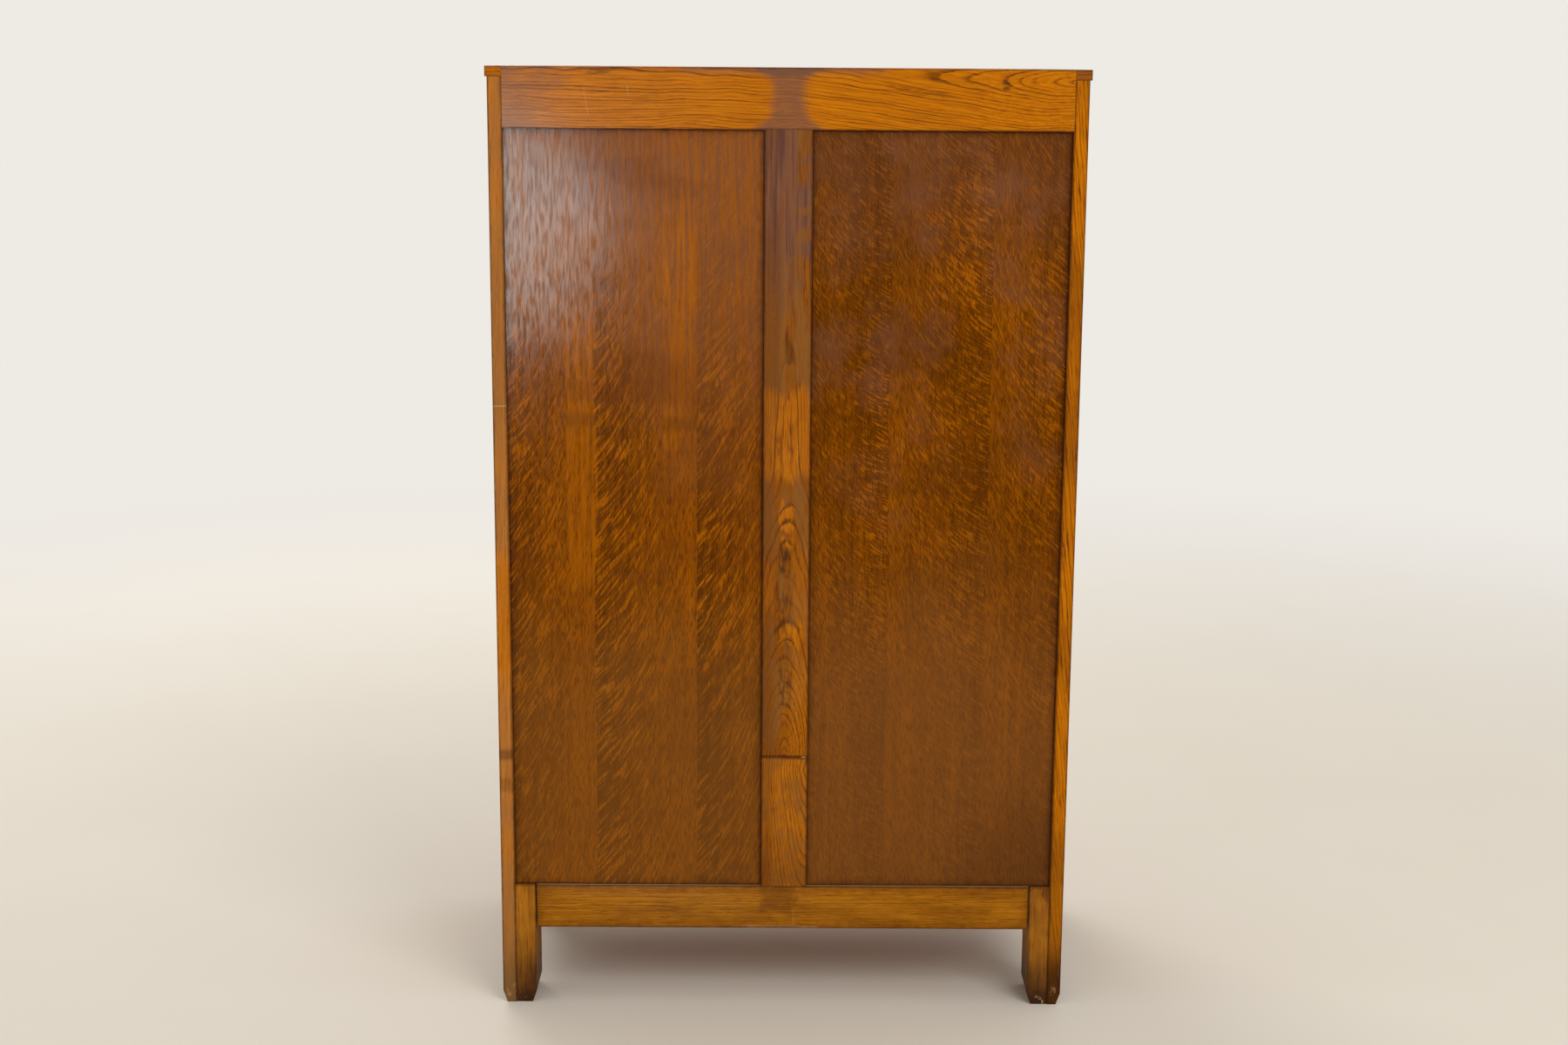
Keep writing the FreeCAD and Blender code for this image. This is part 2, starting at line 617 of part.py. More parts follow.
def make_side_panel(side, sign):
    low = f"({BOTTOM_RAIL_TOP_Z} - {IN_GROOVE})"
    start, length = outwards(sign, SIDE_GROOVE_X, f"{SIDE_GROOVE_X} + dims.panel_thickness")
    piece = body(
        f"side_panel_{side}",
        (f"{sign} * {INNER_X} + ({start})", f"{SIDE_RAIL_Y} - {IN_GROOVE}", low),
    )
    depth = f"{SIDE_RAIL_LENGTH} + 2 * {IN_GROOVE}"
    add_box(piece, "panel", (length, depth, f"{TOP_RAIL_UNDER_Z} + {IN_GROOVE} - {low}"))


def make_leg_block(end, side, sign):
    """The block inside a stile that makes the foot thick. A bottom rail is tenoned into it."""
    rear = end == "rear"
    y = REAR_STILE_Y if rear else FRONT_Y
    piece = body(f"{end}_leg_block_{side}", (f"{sign} * {INNER_X}", y, "0"))
    inner = f"{-sign} * dims.leg_block_width"
    outline = [
        ("0", "0"),
        (f"{-sign} * (dims.leg_block_width - dims.foot_chamfer_width)", "0"),
        (inner, "dims.foot_chamfer_height"),
        (inner, BOTTOM_RAIL_TOP_Z),
        ("0", BOTTOM_RAIL_TOP_Z),
    ]
    pad(piece, "profile", "XZ_Plane", outline, "dims.stile_width", backwards=True)
    depth = "(dims.leg_tenon_length + dims.tenon_play)"
    start, length = outwards(
        -sign, f"dims.leg_block_width - {depth}", "dims.leg_block_width"
    )
    thickness = "dims.back_frame_thickness" if rear else "dims.front_frame_thickness"
    from_face = f"(({thickness} - dims.leg_tenon_thickness) / 2)"
    mortise_y = f"dims.stile_width - {from_face} - dims.leg_tenon_thickness" if rear else from_face
    top = REAR_TENON_TOP if rear else FRONT_TENON_TOP
    size = (length, "dims.leg_tenon_thickness", f"{top} - dims.tenon_shoulder")
    at = (start, mortise_y, "dims.floor_clearance + dims.tenon_shoulder")
    cut_box(piece, "mortise", size, at)
    if rear:
        start, length = outwards(-sign, "0", "dims.leg_block_width")
        y = "dims.stile_width - dims.panel_recess - dims.panel_thickness"
        size = (length, "dims.panel_thickness", "dims.groove_depth")
        cut_box(piece, "groove", size, (start, y, f"{BOTTOM_RAIL_TOP_Z} - dims.groove_depth"))


# Front frame, floor, ceiling and inner back

def make_front_lintel():
    piece = body("front_lintel", ("0", FRONT_Y, LINTEL_UNDER_Z))
    size = (f"2 * {INNER_X}", "dims.front_frame_thickness", "dims.lintel_height")
    add_box(piece, "rail", size, (f"-{INNER_X}", "0", "0"))
    height = "dims.lintel_height - 2 * dims.tenon_shoulder"
    y = "(dims.front_frame_thickness - dims.leg_tenon_thickness) / 2"
    for side, sign in SIDES:
        start, length = outwards(sign, INNER_X, f"{INNER_X} + {IN_GROOVE}")
        size = (length, "dims.leg_tenon_thickness", height)
        add_box(piece, f"tenon_{side}", size, (start, y, "dims.tenon_shoulder"))


def make_bottom_board():
    piece = body("bottom_board", ("0", FRONT_Y, BOTTOM_RAIL_TOP_Z))
    depth = f"{BACK_INNER_Y} - {FRONT_Y}"
    size = (f"2 * {INNER_X}", depth, "dims.bottom_board_thickness")
    add_box(piece, "board", size, (f"-{INNER_X}", "0", "0"))
    y = f"({STRIKE_Y} - {FRONT_Y})"
    top = "dims.bottom_board_thickness"
    cut_box(
        piece,
        "plate_bed",
        ("dims.strike_length", "dims.strike_width", "dims.strike_thickness"),
        ("-dims.strike_length / 2", f"{y} - dims.strike_width / 2", f"{top} - dims.strike_thickness"),
    )
    cut_box(
        piece,
        "bolt_pocket",
        (STRIKE_SLOT[0], STRIKE_SLOT[1], "dims.strike_depth"),
        (f"-{STRIKE_SLOT[0]} / 2", f"{y} - {STRIKE_SLOT[1]} / 2", f"{top} - dims.strike_depth"),
    )
    for side, sign in SIDES:
        at = (f"{sign} * {STRIKE_SCREW_X}", y, top)
        cut_screw_hole(piece, f"screw_{side}", at, (0, 0, -1))


def make_strike_plate():
    piece = body("strike_plate", ("0", STRIKE_Y, f"{SILL_Z} - dims.strike_thickness"))
    add_box(
        piece,
        "plate",
        ("dims.strike_length", "dims.strike_width", "dims.strike_thickness"),
        ("-dims.strike_length / 2", "-dims.strike_width / 2", "0"),
    )
    cut_box(
        piece,
        "bolt_slot",
        (STRIKE_SLOT[0], STRIKE_SLOT[1], "dims.strike_thickness"),
        (f"-{STRIKE_SLOT[0]} / 2", f"-{STRIKE_SLOT[1]} / 2", "0"),
    )
    for side, sign in SIDES:
        at = (f"{sign} * {STRIKE_SCREW_X}", "0", "dims.strike_thickness")
        cut_screw_hole(piece, f"screw_{side}", at, (0, 0, -1), countersunk=True)
    screws = [
        screw(f"strike_screw_{side}", (f"{sign} * {STRIKE_SCREW_X}", STRIKE_Y, SILL_Z), (0, 0, -1))
        for side, sign in SIDES
    ]
    group("strike_screws", screws)


def make_ceiling_and_inner_back():
    front = f"({FRONT_INNER_Y} + {TRACK_WIDTH})"
    depth = f"{BACK_INNER_Y} - {TRACK_WIDTH} - {front}"
    ceiling = body("inner_ceiling", (f"-{INNER_X}", front, CEILING_UNDER_Z))
    add_box(ceiling, "board", (f"2 * {INNER_X}", depth, "dims.ceiling_thickness"))
    back = body("inner_back", (f"-{INNER_X}", INNER_BACK_Y, SILL_Z))
    height = f"{CEILING_UNDER_Z} - {SILL_Z}"
    add_box(back, "sheet", (f"2 * {INNER_X}", "dims.inner_back_thickness", height))


# Tracks of the curtain

def make_upright_track(end, side, sign):
    y = FRONT_INNER_Y if end == "front" else f"{BACK_INNER_Y} - {TRACK_WIDTH}"
    piece = body(f"{end}_track_{side}", (f"{sign} * {INNER_X}", y, SILL_Z))
    start, length = outwards(-sign, "0", "dims.track_thickness")
    add_box(piece, "strip", (length, TRACK_WIDTH, TRACK_HEIGHT), (start, "0", "0"))
    web = "(dims.track_thickness - dims.track_groove_depth)"
    start, length = outwards(-sign, web, "dims.track_thickness")
    cut_box(piece, "groove", (length, GROOVE, TRACK_HEIGHT), (start, "dims.track_wall", "0"))
    for number, height in enumerate(TRACK_SCREW_HEIGHTS, start=1):
        at = (f"{-sign} * {web}", f"{TRACK_WIDTH} / 2", height)
        cut_screw_hole(piece, f"screw_{number}", at, (sign, 0, 0), countersunk=True)


def make_top_track(side, sign):
    """The track over the ceiling, with the two bends of the run. It starts at its grooved face."""
    depth = f"({BACK_INNER_Y} - {FRONT_INNER_Y})"
    face = f"{sign} * ({INNER_X} - dims.track_thickness)"
    piece = body(f"top_track_{side}", (face, FRONT_INNER_Y, BEND_Z))
    start, length = outwards(sign, "0", "dims.track_thickness")
    add_box(piece, "board", (length, depth, f"{TOP_UNDER_Z} - {BEND_Z}"), (start, "0", "0"))
    outer = f"(dims.bend_radius + {GROOVE} / 2)"
    inner = f"(dims.bend_radius - {GROOVE} / 2)"
    near = "dims.track_wall"
    far = f"({depth} - dims.track_wall)"
    near_middle = f"({near} + {outer})"
    far_middle = f"({far} - {outer})"
    outline = [
        (near_middle, outer, outer, near_middle, "0"),
        (far_middle, outer),
        (far, "0", outer, far_middle, "0"),
        (f"{far} - {GROOVE}", "0"),
        (far_middle, inner, inner, far_middle, "0"),
        (near_middle, inner),
        (f"{near} + {GROOVE}", "0", inner, near_middle, "0"),
        (near, "0"),
    ]
    pocket(piece, "groove", "YZ_Plane", outline, "dims.track_groove_depth", backwards=sign > 0)


def make_track_screws():
    screws = []
    web = "(dims.track_thickness - dims.track_groove_depth)"
    rows = (("front", RUN_FRONT_Y), ("rear", f"{BACK_INNER_Y} - {TRACK_WIDTH} / 2"))
    for side, sign in SIDES:
        for end, y in rows:
            for number, height in enumerate(TRACK_SCREW_HEIGHTS, start=1):
                at = (f"{sign} * ({INNER_X} - {web})", y, f"{SILL_Z} + {height}")
                screws.append(screw(f"track_screw_{end}_{side}_{number}", at, (sign, 0, 0)))
    group("track_screws", screws)


# Shelves and blocks

def make_shelves():
    y = f"({FRONT_INNER_Y} + {TRACK_WIDTH} + dims.shelf_play)"
    depth = f"{INNER_BACK_Y} - dims.shelf_play - {y}"
    half = f"({INNER_X} - dims.shelf_play)"
    pegs = []
    for index, name in ((1, "lower"), (2, "upper")):
        shelf = body(f"shelf_{name}", (f"-{half}", y, shelf_under(index)))
        add_box(shelf, "board", (f"2 * {half}", depth, "dims.shelf_thickness"))
        for side, sign in SIDES:
            for end, peg_y in (
                ("front", f"{SIDE_RAIL_Y} - dims.peg_inset"),
                ("rear", f"{REAR_STILE_Y} + dims.peg_inset"),
            ):
                at = (
                    f"{sign} * ({INNER_X} + dims.peg_hole_depth)",
                    peg_y,
                    f"{shelf_under(index)} - dims.peg_diameter / 2",
                )
                sizes = {"Radius": "dims.peg_diameter / 2", "Height": "dims.peg_length"}
                label = f"peg_{name}_{end}_{side}"
                pegs.append(primitive("Cylinder", label, sizes, at, (-sign, 0, 0)))
    group("shelf_pegs", pegs)


def make_blocks():
    """Glue blocks: under the top against its rails, and under the bottom board against its rails."""
    upper = []
    lower = []
    rows = (
        ("front", FRONT_INNER_Y),
        ("back", f"{BACK_INNER_Y} - dims.block_side"),
    )
    for side, sign in SIDES:
        x = f"{sign} * dims.block_spacing / 2 - dims.block_length / 2"
        for end, y in rows:
            size = {"Length": "dims.block_length", "Width": "dims.block_side"}
            top = {**size, "Height": "dims.block_height"}
            at = (x, y, f"{TOP_UNDER_Z} - dims.block_height")
            upper.append(primitive("Box", f"top_block_{end}_{side}", top, at))
            foot = {**size, "Height": "dims.block_side"}
            at = (x, y, f"{BOTTOM_RAIL_TOP_Z} - dims.block_side")
            lower.append(primitive("Box", f"bottom_block_{end}_{side}", foot, at))
        start, length = outwards(sign, f"{INNER_X} - dims.block_side", INNER_X)
        size = {"Length": length, "Width": "dims.block_length", "Height": "dims.block_side"}
        middle = f"({SIDE_RAIL_Y} + {REAR_STILE_Y}) / 2 - dims.block_length / 2"
        at = (start, middle, f"{BOTTOM_RAIL_TOP_Z} - dims.block_side")
        lower.append(primitive("Box", f"bottom_block_middle_{side}", size, at))
    group("top_fixing_blocks", upper)
    group("bottom_glue_blocks", lower)


# Shutter: lead rail, slats, canvas and knobs

def make_lead_rail():
    piece = body("lead_rail", ("0", LEAD_RAIL_Y, LEAD_RAIL_Z))
    size = (f"2 * {LEAD_RAIL_HALF}", "dims.lead_rail_thickness", "dims.lead_rail_height")
    add_box(piece, "rail", size, (f"-{LEAD_RAIL_HALF}", "0", "0"))
    tongue_y = f"{RUN_FRONT_Y} - {CURTAIN} / 2 - {LEAD_RAIL_Y}"
    for side, sign in SIDES:
        start, length = outwards(sign, LEAD_RAIL_HALF, SLAT_HALF)
        size = (length, CURTAIN, "dims.lead_rail_height")
        add_box(piece, f"tongue_{side}", size, (start, tongue_y, "0"))
    canvas_y = f"({SLAT_BACK_Y} - {LEAD_RAIL_Y})"
    cut_box(
        piece,
        "canvas_rebate",
        (f"2 * {CANVAS_HALF}", f"dims.lead_rail_thickness - {canvas_y}", "dims.canvas_lap"),
        (f"-{CANVAS_HALF}", canvas_y, "dims.lead_rail_height - dims.canvas_lap"),
    )
    cut_box(
        piece,
        "lock_mortise",
        ("dims.lock_width", "dims.lock_thickness", "dims.lock_height"),
        ("-dims.lock_width / 2", "dims.lock_inset", "0"),
    )
    cut_box(
        piece,
        "forend_bed",
        ("dims.forend_length", "dims.lock_thickness", "dims.strike_thickness"),
        ("-dims.forend_length / 2", "dims.lock_inset", "0"),
    )
    cut_keyhole(piece, "dims.lock_inset", "0", "dims.knob_height")
    for side, sign in SIDES:
        at = (f"{sign} * dims.knob_spacing / 2", "dims.lead_rail_thickness", "dims.knob_height")
        cut_screw_hole(piece, f"knob_screw_{side}", at, (0, -1, 0), KNOB_SCREW, countersunk=True)
        at = (f"{sign} * {FOREND_SCREW_X}", f"dims.lock_inset + dims.lock_thickness / 2", "0")
        cut_screw_hole(piece, f"lock_screw_{side}", at, (0, 0, 1))
    for level, sign in (("lower", -1), ("upper", 1)):
        height = f"dims.knob_height + {sign} * {PIN_OFFSET}"
        at = ("0", "0", height)
        cut_cylinder(piece, f"pin_{level}", "dims.pin_diameter", PIN_IN_WOOD, at, (0, 1, 0))


def cut_keyhole(piece, depth, y, z):
    """A round hole for the stem of the key with a slot below for its bit."""
    cut_cylinder(piece, "keyhole", "dims.key_stem_diameter + 2 * dims.key_play", depth, ("0", y, z), (0, 1, 0))
    width = "(dims.key_bit_width + 2 * dims.key_play)"
    length = "(dims.key_bit_length + dims.key_play)"
    cut_box(piece, "keyhole_slot", (width, depth, length), (f"-{width} / 2", y, f"{z} - {length}"))


def curtain_joints():
    """The foot of every slat at the back of the curtain, as (y, z, lean), and the slats' pitch.

    The backs of the slats touch a circle round the middle of the bend, so the last upright slat
    stands half above the place where the bend starts.
    """
    low = value_of(f"{LEAD_RAIL_Z} + dims.lead_rail_height")
    straight = value_of(BEND_Z) - low
    count = round(straight / value_of("dims.slat_pitch") + 0.5)
    pitch = straight / (count - 0.5)
    y = value_of(SLAT_BACK_Y)
    joints = [(y, low + index * pitch, 0.0) for index in range(count)]
    radius = value_of(f"{RUN_FRONT_Y} + dims.bend_radius") - y
    turn = 2 * math.atan(pitch / 2 / radius)
    z = low + count * pitch
    tail = round(value_of("dims.tail_slats"))
    for index in range(tail + 1):
        lean = turn * (index + 1)
        joints.append((y, z, lean))
        y += pitch * math.sin(lean)
        z += pitch * math.cos(lean)
    return joints, pitch


def make_slats():
    """All slats of the curtain, each a bar with a rounded front, set along the run."""
    joints, pitch = curtain_joints()
    gap = value_of("dims.slat_gap")
    height = pitch - gap
    thickness = value_of("dims.slat_thickness")
    shoulder = value_of("dims.slat_thickness - dims.slat_crown")
    half = value_of(SLAT_HALF)
    foot_back = FreeCAD.Vector(-half, 0, gap / 2)
    foot_front = FreeCAD.Vector(-half, -shoulder, gap / 2)
    crown = FreeCAD.Vector(-half, -thickness, gap / 2 + height / 2)
    head_front = FreeCAD.Vector(-half, -shoulder, gap / 2 + height)
    head_back = FreeCAD.Vector(-half, 0, gap / 2 + height)
    section = Part.Wire([
        Part.makeLine(foot_back, foot_front),
        Part.Arc(foot_front, crown, head_front).toShape(),
        Part.makeLine(head_front, head_back),
        Part.makeLine(head_back, foot_back),
    ])
    slat = Part.Face(section).extrude(FreeCAD.Vector(2 * half, 0, 0))
    slats = []
    for y, z, lean in joints[:-1]:
        turn = FreeCAD.Rotation(FreeCAD.Vector(1, 0, 0), -math.degrees(lean))
        copy = slat.copy()
        copy.Placement = FreeCAD.Placement(FreeCAD.Vector(0, y, z), turn)
        slats.append(copy)
    piece = doc.addObject("Part::Feature", "tambour_slats")
    piece.Label = "tambour_slats"
    piece.Shape = Part.makeCompound(slats)
    piece.Placement = FreeCAD.Placement()
    pieces.append(piece)


def make_canvas():
    """The canvas behind the slats, flat behind each of them, with its lower edge in the rebate."""
    joints, pitch = curtain_joints()
    thickness = value_of("dims.canvas_thickness")
    half = value_of(CANVAS_HALF)
    low = joints[0][1] - value_of("dims.canvas_lap")
    straight = [joint for joint in joints if joint[2] == 0.0]
    bent = joints[len(straight):]
    front = [FreeCAD.Vector(-half, joints[0][0], low)]
    front += [FreeCAD.Vector(-half, y, z) for y, z, lean in bent]
    rear = [FreeCAD.Vector(-half, joints[0][0] + thickness, low)]
    before = 0.0
    for index, (y, z, lean) in enumerate(bent):
        # The last edge is square to the canvas, and the others are mitred
        after = before if index == len(bent) - 1 else lean
        middle = (before + after) / 2
        reach = thickness / math.cos((after - before) / 2)
        rear.append(
            FreeCAD.Vector(-half, y + reach * math.cos(middle), z - reach * math.sin(middle))
        )
        before = after
    outline = Part.makePolygon(front + rear[::-1] + front[:1])
    piece = doc.addObject("Part::Feature", "tambour_canvas")
    piece.Label = "tambour_canvas"
    piece.Shape = Part.Face(outline).extrude(FreeCAD.Vector(2 * half, 0, 0))
    piece.Placement = FreeCAD.Placement()
    pieces.append(piece)


def make_canvas_batten():
    """The strip that clamps the lower edge of the canvas in the rebate."""
    y = f"({SLAT_BACK_Y} + dims.canvas_thickness)"
    z = f"{LEAD_RAIL_Z} + dims.lead_rail_height - dims.canvas_lap"
    piece = body("canvas_batten", (f"-{CANVAS_HALF}", y, z))
    thickness = f"{LEAD_RAIL_Y} + dims.lead_rail_thickness - {y}"
    add_box(piece, "strip", (f"2 * {CANVAS_HALF}", thickness, "dims.canvas_lap"))


def make_knobs():
    """Two turned knobs, each with a foot, a neck and a domed head."""
    foot = "dims.knob_foot_diameter / 2"
    neck = "dims.knob_neck_diameter / 2"
    head = "dims.knob_diameter / 2"
    head_start = "(dims.knob_projection - dims.knob_head_height)"
    rim = f"({head_start} + dims.knob_head_height / 3)"
    dome = "(dims.knob_head_height * 2 / 3)"
    dome_radius = f"(({head} * {head} + {dome} * {dome}) / 2 / {dome})"
    screws = []
    for side, sign in SIDES:
        x = f"{sign} * dims.knob_spacing / 2"
        piece = body(f"knob_{side}", (x, LEAD_RAIL_Y, KEY_Z))
        outline = [
            ("0", "0"),
            (foot, "0"),
            (foot, "-dims.knob_foot_height"),
            (neck, "-dims.knob_foot_height - 1"),
            (neck, f"-{head_start}"),
            (head, f"-{rim}"),
            ("0", "-dims.knob_projection", dome_radius, "0", f"{dome_radius} - dims.knob_projection"),
        ]
        turning = piece.newObject("PartDesign::Revolution", f"{piece.Name}_turning")
        turning.Profile = sketch(piece, "profile", "XY_Plane", outline)
        turning.ReferenceAxis = (turning.Profile[0], ["V_Axis"])
        turning.Angle = 360
        piece.Tip = turning
        depth = f"{KNOB_SCREW} - dims.lead_rail_thickness"
        cut_screw_hole(piece, "screw", ("0", "0", "0"), (0, -1, 0), depth)
        at = (x, f"{LEAD_RAIL_Y} + dims.lead_rail_thickness", KEY_Z)
        screws.append(screw(f"knob_screw_{side}", at, (0, -1, 0), KNOB_SCREW))
    group("knob_screws", screws)


# Lock: case, bolt, key and keyhole plate

def make_lock():
    case = body("lock_case", ("0", LOCK_Y, LEAD_RAIL_Z))
    size = ("dims.lock_width", "dims.lock_thickness", "dims.lock_height")
    add_box(case, "case", size, ("-dims.lock_width / 2", "0", "0"))
    size = ("dims.forend_length", "dims.lock_thickness", "dims.strike_thickness")
    add_box(case, "forend", size, ("-dims.forend_length / 2", "0", "0"))
    wall = "dims.lock_wall"
    room = f"dims.lock_height - {wall} - dims.strike_thickness"
    cut_box(
        case,
        "works",
        (f"dims.lock_width - 2 * {wall}", f"dims.lock_thickness - 2 * {wall}", room),
        (f"{wall} - dims.lock_width / 2", wall, "dims.strike_thickness"),
    )
    slot = "(dims.bolt_width + 2 * dims.bolt_play)"
    depth = "(dims.bolt_thickness + 2 * dims.bolt_play)"
    y = f"{BOLT_Y} - dims.bolt_play - {LOCK_Y}"
    cut_box(case, "bolt_slot", (slot, depth, "dims.strike_thickness"), (f"-{slot} / 2", y, "0"))
    cut_keyhole(case, wall, "0", "dims.knob_height")
    screws = []
    for side, sign in SIDES:
        at = (f"{sign} * {FOREND_SCREW_X}", "dims.lock_thickness / 2", "0")
        cut_screw_hole(case, f"screw_{side}", at, (0, 0, 1), countersunk=True)
        at = (f"{sign} * {FOREND_SCREW_X}", f"{LOCK_Y} + dims.lock_thickness / 2", LEAD_RAIL_Z)
        screws.append(screw(f"lock_screw_{side}", at, (0, 0, 1)))
    group("lock_screws", screws)


def make_lock_bolt():
    foot = "(dims.strike_thickness / 2)"
    piece = body("lock_bolt", ("0", BOLT_Y, f"{LEAD_RAIL_Z} + {foot}"))
    height = f"dims.lock_height - dims.lock_wall - dims.bolt_play - {foot}"
    size = ("dims.bolt_width", "dims.bolt_thickness", height)
    add_box(piece, "plate", size, ("-dims.bolt_width / 2", "0", "0"))


def make_key():
    """A stem with a bit inside the lock and a ring in front. It turns about its stem."""
    piece = body("key", ("0", LEAD_RAIL_Y, KEY_Z))
    inner = "(dims.lock_inset + dims.lock_wall)"
    bit_room = f"({BOLT_Y} - dims.bolt_play - {LEAD_RAIL_Y} - {inner})"
    stem_front = "(dims.key_exposed_length - dims.key_bow_diameter + dims.key_bow_width / 2)"
    add_cylinder(
        piece,
        "stem",
        "dims.key_stem_diameter",
        f"{stem_front} + {inner} + {bit_room}",
        ("0", f"{inner} + {bit_room}", "0"),
        (0, -1, 0),
    )
    width = "dims.key_bit_width"
    size = (width, f"{bit_room} - dims.bolt_play", "dims.key_bit_length")
    add_box(piece, "bit", size, (f"-{width} / 2", f"{inner} + dims.bolt_play", "-dims.key_bit_length"))
    centre = "(dims.key_bow_diameter / 2 - dims.key_exposed_length)"
    thickness = "dims.key_bow_thickness"
    at = (f"-{thickness} / 2", centre, "0")
    add_cylinder(piece, "bow", "dims.key_bow_diameter", thickness, at, (1, 0, 0))
    hole = "dims.key_bow_diameter - 2 * dims.key_bow_width"
    cut_cylinder(piece, "bow_hole", hole, "dims.key_stem_diameter", ("-dims.key_stem_diameter / 2", centre, "0"), (1, 0, 0))


def make_escutcheon():
    """The keyhole plate, with round ends, and its two pins."""
    piece = body("escutcheon", ("0", LEAD_RAIL_Y, KEY_Z))
    half = "(dims.escutcheon_width / 2)"
    straight = f"(dims.escutcheon_height / 2 - {half})"
    tip = "(dims.escutcheon_height / 2)"
    outline = [
        (half, straight),
        ("0", tip, half, "0", straight),
        (f"-{half}", straight, half, "0", straight),
        (f"-{half}", f"-{straight}"),
        ("0", f"-{tip}", half, "0", f"-{straight}"),
        (half, f"-{straight}", half, "0", f"-{straight}"),
    ]
    pad(piece, "plate", "XZ_Plane", outline, "dims.plate_thickness")
    face = "-dims.plate_thickness"
    cut_keyhole(piece, "dims.plate_thickness", face, "0")
    pins = []
    for level, sign in (("lower", -1), ("upper", 1)):
        at = ("0", face, f"{sign} * {PIN_OFFSET}")
        cut_cylinder(piece, f"pin_{level}", "dims.pin_diameter", "dims.plate_thickness", at, (0, 1, 0))
        sizes = {"Radius": "dims.pin_diameter / 2", "Height": "dims.pin_length"}
        at = ("0", f"{LEAD_RAIL_Y} - dims.plate_thickness", f"{KEY_Z} + {sign} * {PIN_OFFSET}")
        pins.append(primitive("Cylinder", f"escutcheon_pin_{level}", sizes, at, (0, 1, 0)))
    group("escutcheon_pins", pins)


# The whole cabinet

make_top_board()
make_back_top_rail()
make_back_bottom_rail()
make_muntin()
make_back_panels()
for side_name, direction in SIDES:
    make_stile("rear", side_name, direction)
    make_stile("front", side_name, direction)
    make_side_rails(side_name, direction)
    make_side_panel(side_name, direction)
    make_leg_block("rear", side_name, direction)
    make_leg_block("front", side_name, direction)
    make_upright_track("front", side_name, direction)
    make_upright_track("rear", side_name, direction)
    make_top_track(side_name, direction)
make_front_lintel()
make_bottom_rail("front_bottom_rail", FRONT_Y, "dims.front_frame_thickness", FRONT_TENON_TOP)
make_bottom_board()
make_strike_plate()
make_ceiling_and_inner_back()
make_track_screws()
make_shelves()
make_blocks()
make_lead_rail()
make_slats()
make_canvas()
make_canvas_batten()
make_knobs()
make_lock()
make_lock_bolt()
make_key()
make_escutcheon()

doc.recompute()

for item in doc.Objects:
    if "Invalid" in item.State or "Error" in item.State:
        raise ValueError(f"{item.Name} failed: {item.State}")
for piece in pieces:
    if piece.Shape.isNull() or not piece.Shape.isValid():
        raise ValueError(f"{piece.Label} has no valid shape")

os.makedirs("parts", exist_ok=True)
for piece in pieces:
    piece.Shape.exportStep(f"parts/{piece.Label}.step")
    box_of_piece = piece.Shape.BoundBox
    print(
        f"{piece.Label:24} solids {len(piece.Shape.Solids):3}"
        f"  x {box_of_piece.XMin:8.2f} {box_of_piece.XMax:8.2f}"
        f"  y {box_of_piece.YMin:8.2f} {box_of_piece.YMax:8.2f}"
        f"  z {box_of_piece.ZMin:8.2f} {box_of_piece.ZMax:8.2f}"
    )
print(f"{len(pieces)} pieces")
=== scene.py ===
"""An oak tambour cabinet, seen from its finished back: its pieces, their finishes and the stage."""

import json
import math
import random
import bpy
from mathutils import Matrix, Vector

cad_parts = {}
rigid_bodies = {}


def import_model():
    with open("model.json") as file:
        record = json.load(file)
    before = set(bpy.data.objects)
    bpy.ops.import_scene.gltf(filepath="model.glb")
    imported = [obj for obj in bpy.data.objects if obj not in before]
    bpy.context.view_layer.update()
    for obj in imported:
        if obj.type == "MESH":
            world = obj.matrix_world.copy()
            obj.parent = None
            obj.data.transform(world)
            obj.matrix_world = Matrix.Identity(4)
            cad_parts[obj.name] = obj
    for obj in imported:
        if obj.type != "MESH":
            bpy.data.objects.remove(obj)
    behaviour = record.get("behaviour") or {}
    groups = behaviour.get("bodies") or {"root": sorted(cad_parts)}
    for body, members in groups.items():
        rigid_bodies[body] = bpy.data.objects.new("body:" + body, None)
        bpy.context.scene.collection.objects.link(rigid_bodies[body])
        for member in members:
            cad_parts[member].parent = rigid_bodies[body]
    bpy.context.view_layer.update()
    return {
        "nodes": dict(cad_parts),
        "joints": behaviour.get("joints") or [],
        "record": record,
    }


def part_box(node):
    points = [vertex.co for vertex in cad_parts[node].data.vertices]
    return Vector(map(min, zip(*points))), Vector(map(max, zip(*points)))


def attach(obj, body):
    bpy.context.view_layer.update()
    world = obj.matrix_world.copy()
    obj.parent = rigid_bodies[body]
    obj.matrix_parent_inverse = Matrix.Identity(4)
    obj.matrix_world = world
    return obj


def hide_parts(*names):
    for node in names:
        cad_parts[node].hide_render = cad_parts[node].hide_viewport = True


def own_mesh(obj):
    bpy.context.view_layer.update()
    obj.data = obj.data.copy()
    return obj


bl_info = {
    "name": "Tambour Cabinet",
    "version": (1, 0, 0),
    "blender": (4, 5, 0),
    "location": "View3D > Sidebar > Cabinet",
    "description": "Finishes the framed back, the sides and the roll-up front of an oak cabinet",
    "category": "Object",
}

import bpy
from bpy.props import FloatProperty, FloatVectorProperty, PointerProperty
from mathutils import Matrix, Vector

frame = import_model()
BODY_OF = {node: body for body, nodes in frame["record"]["behaviour"]["bodies"].items() for node in nodes}

# Depths of relief: pores in smooth wood, pores in veneer, those of the slats, threads, scratches
WOOD_RELIEF = 0.00016
VENEER_RELIEF = 0.00022
SLAT_RELIEF = 0.00012
CANVAS_RELIEF = 0.0002
METAL_RELIEF = 0.00002

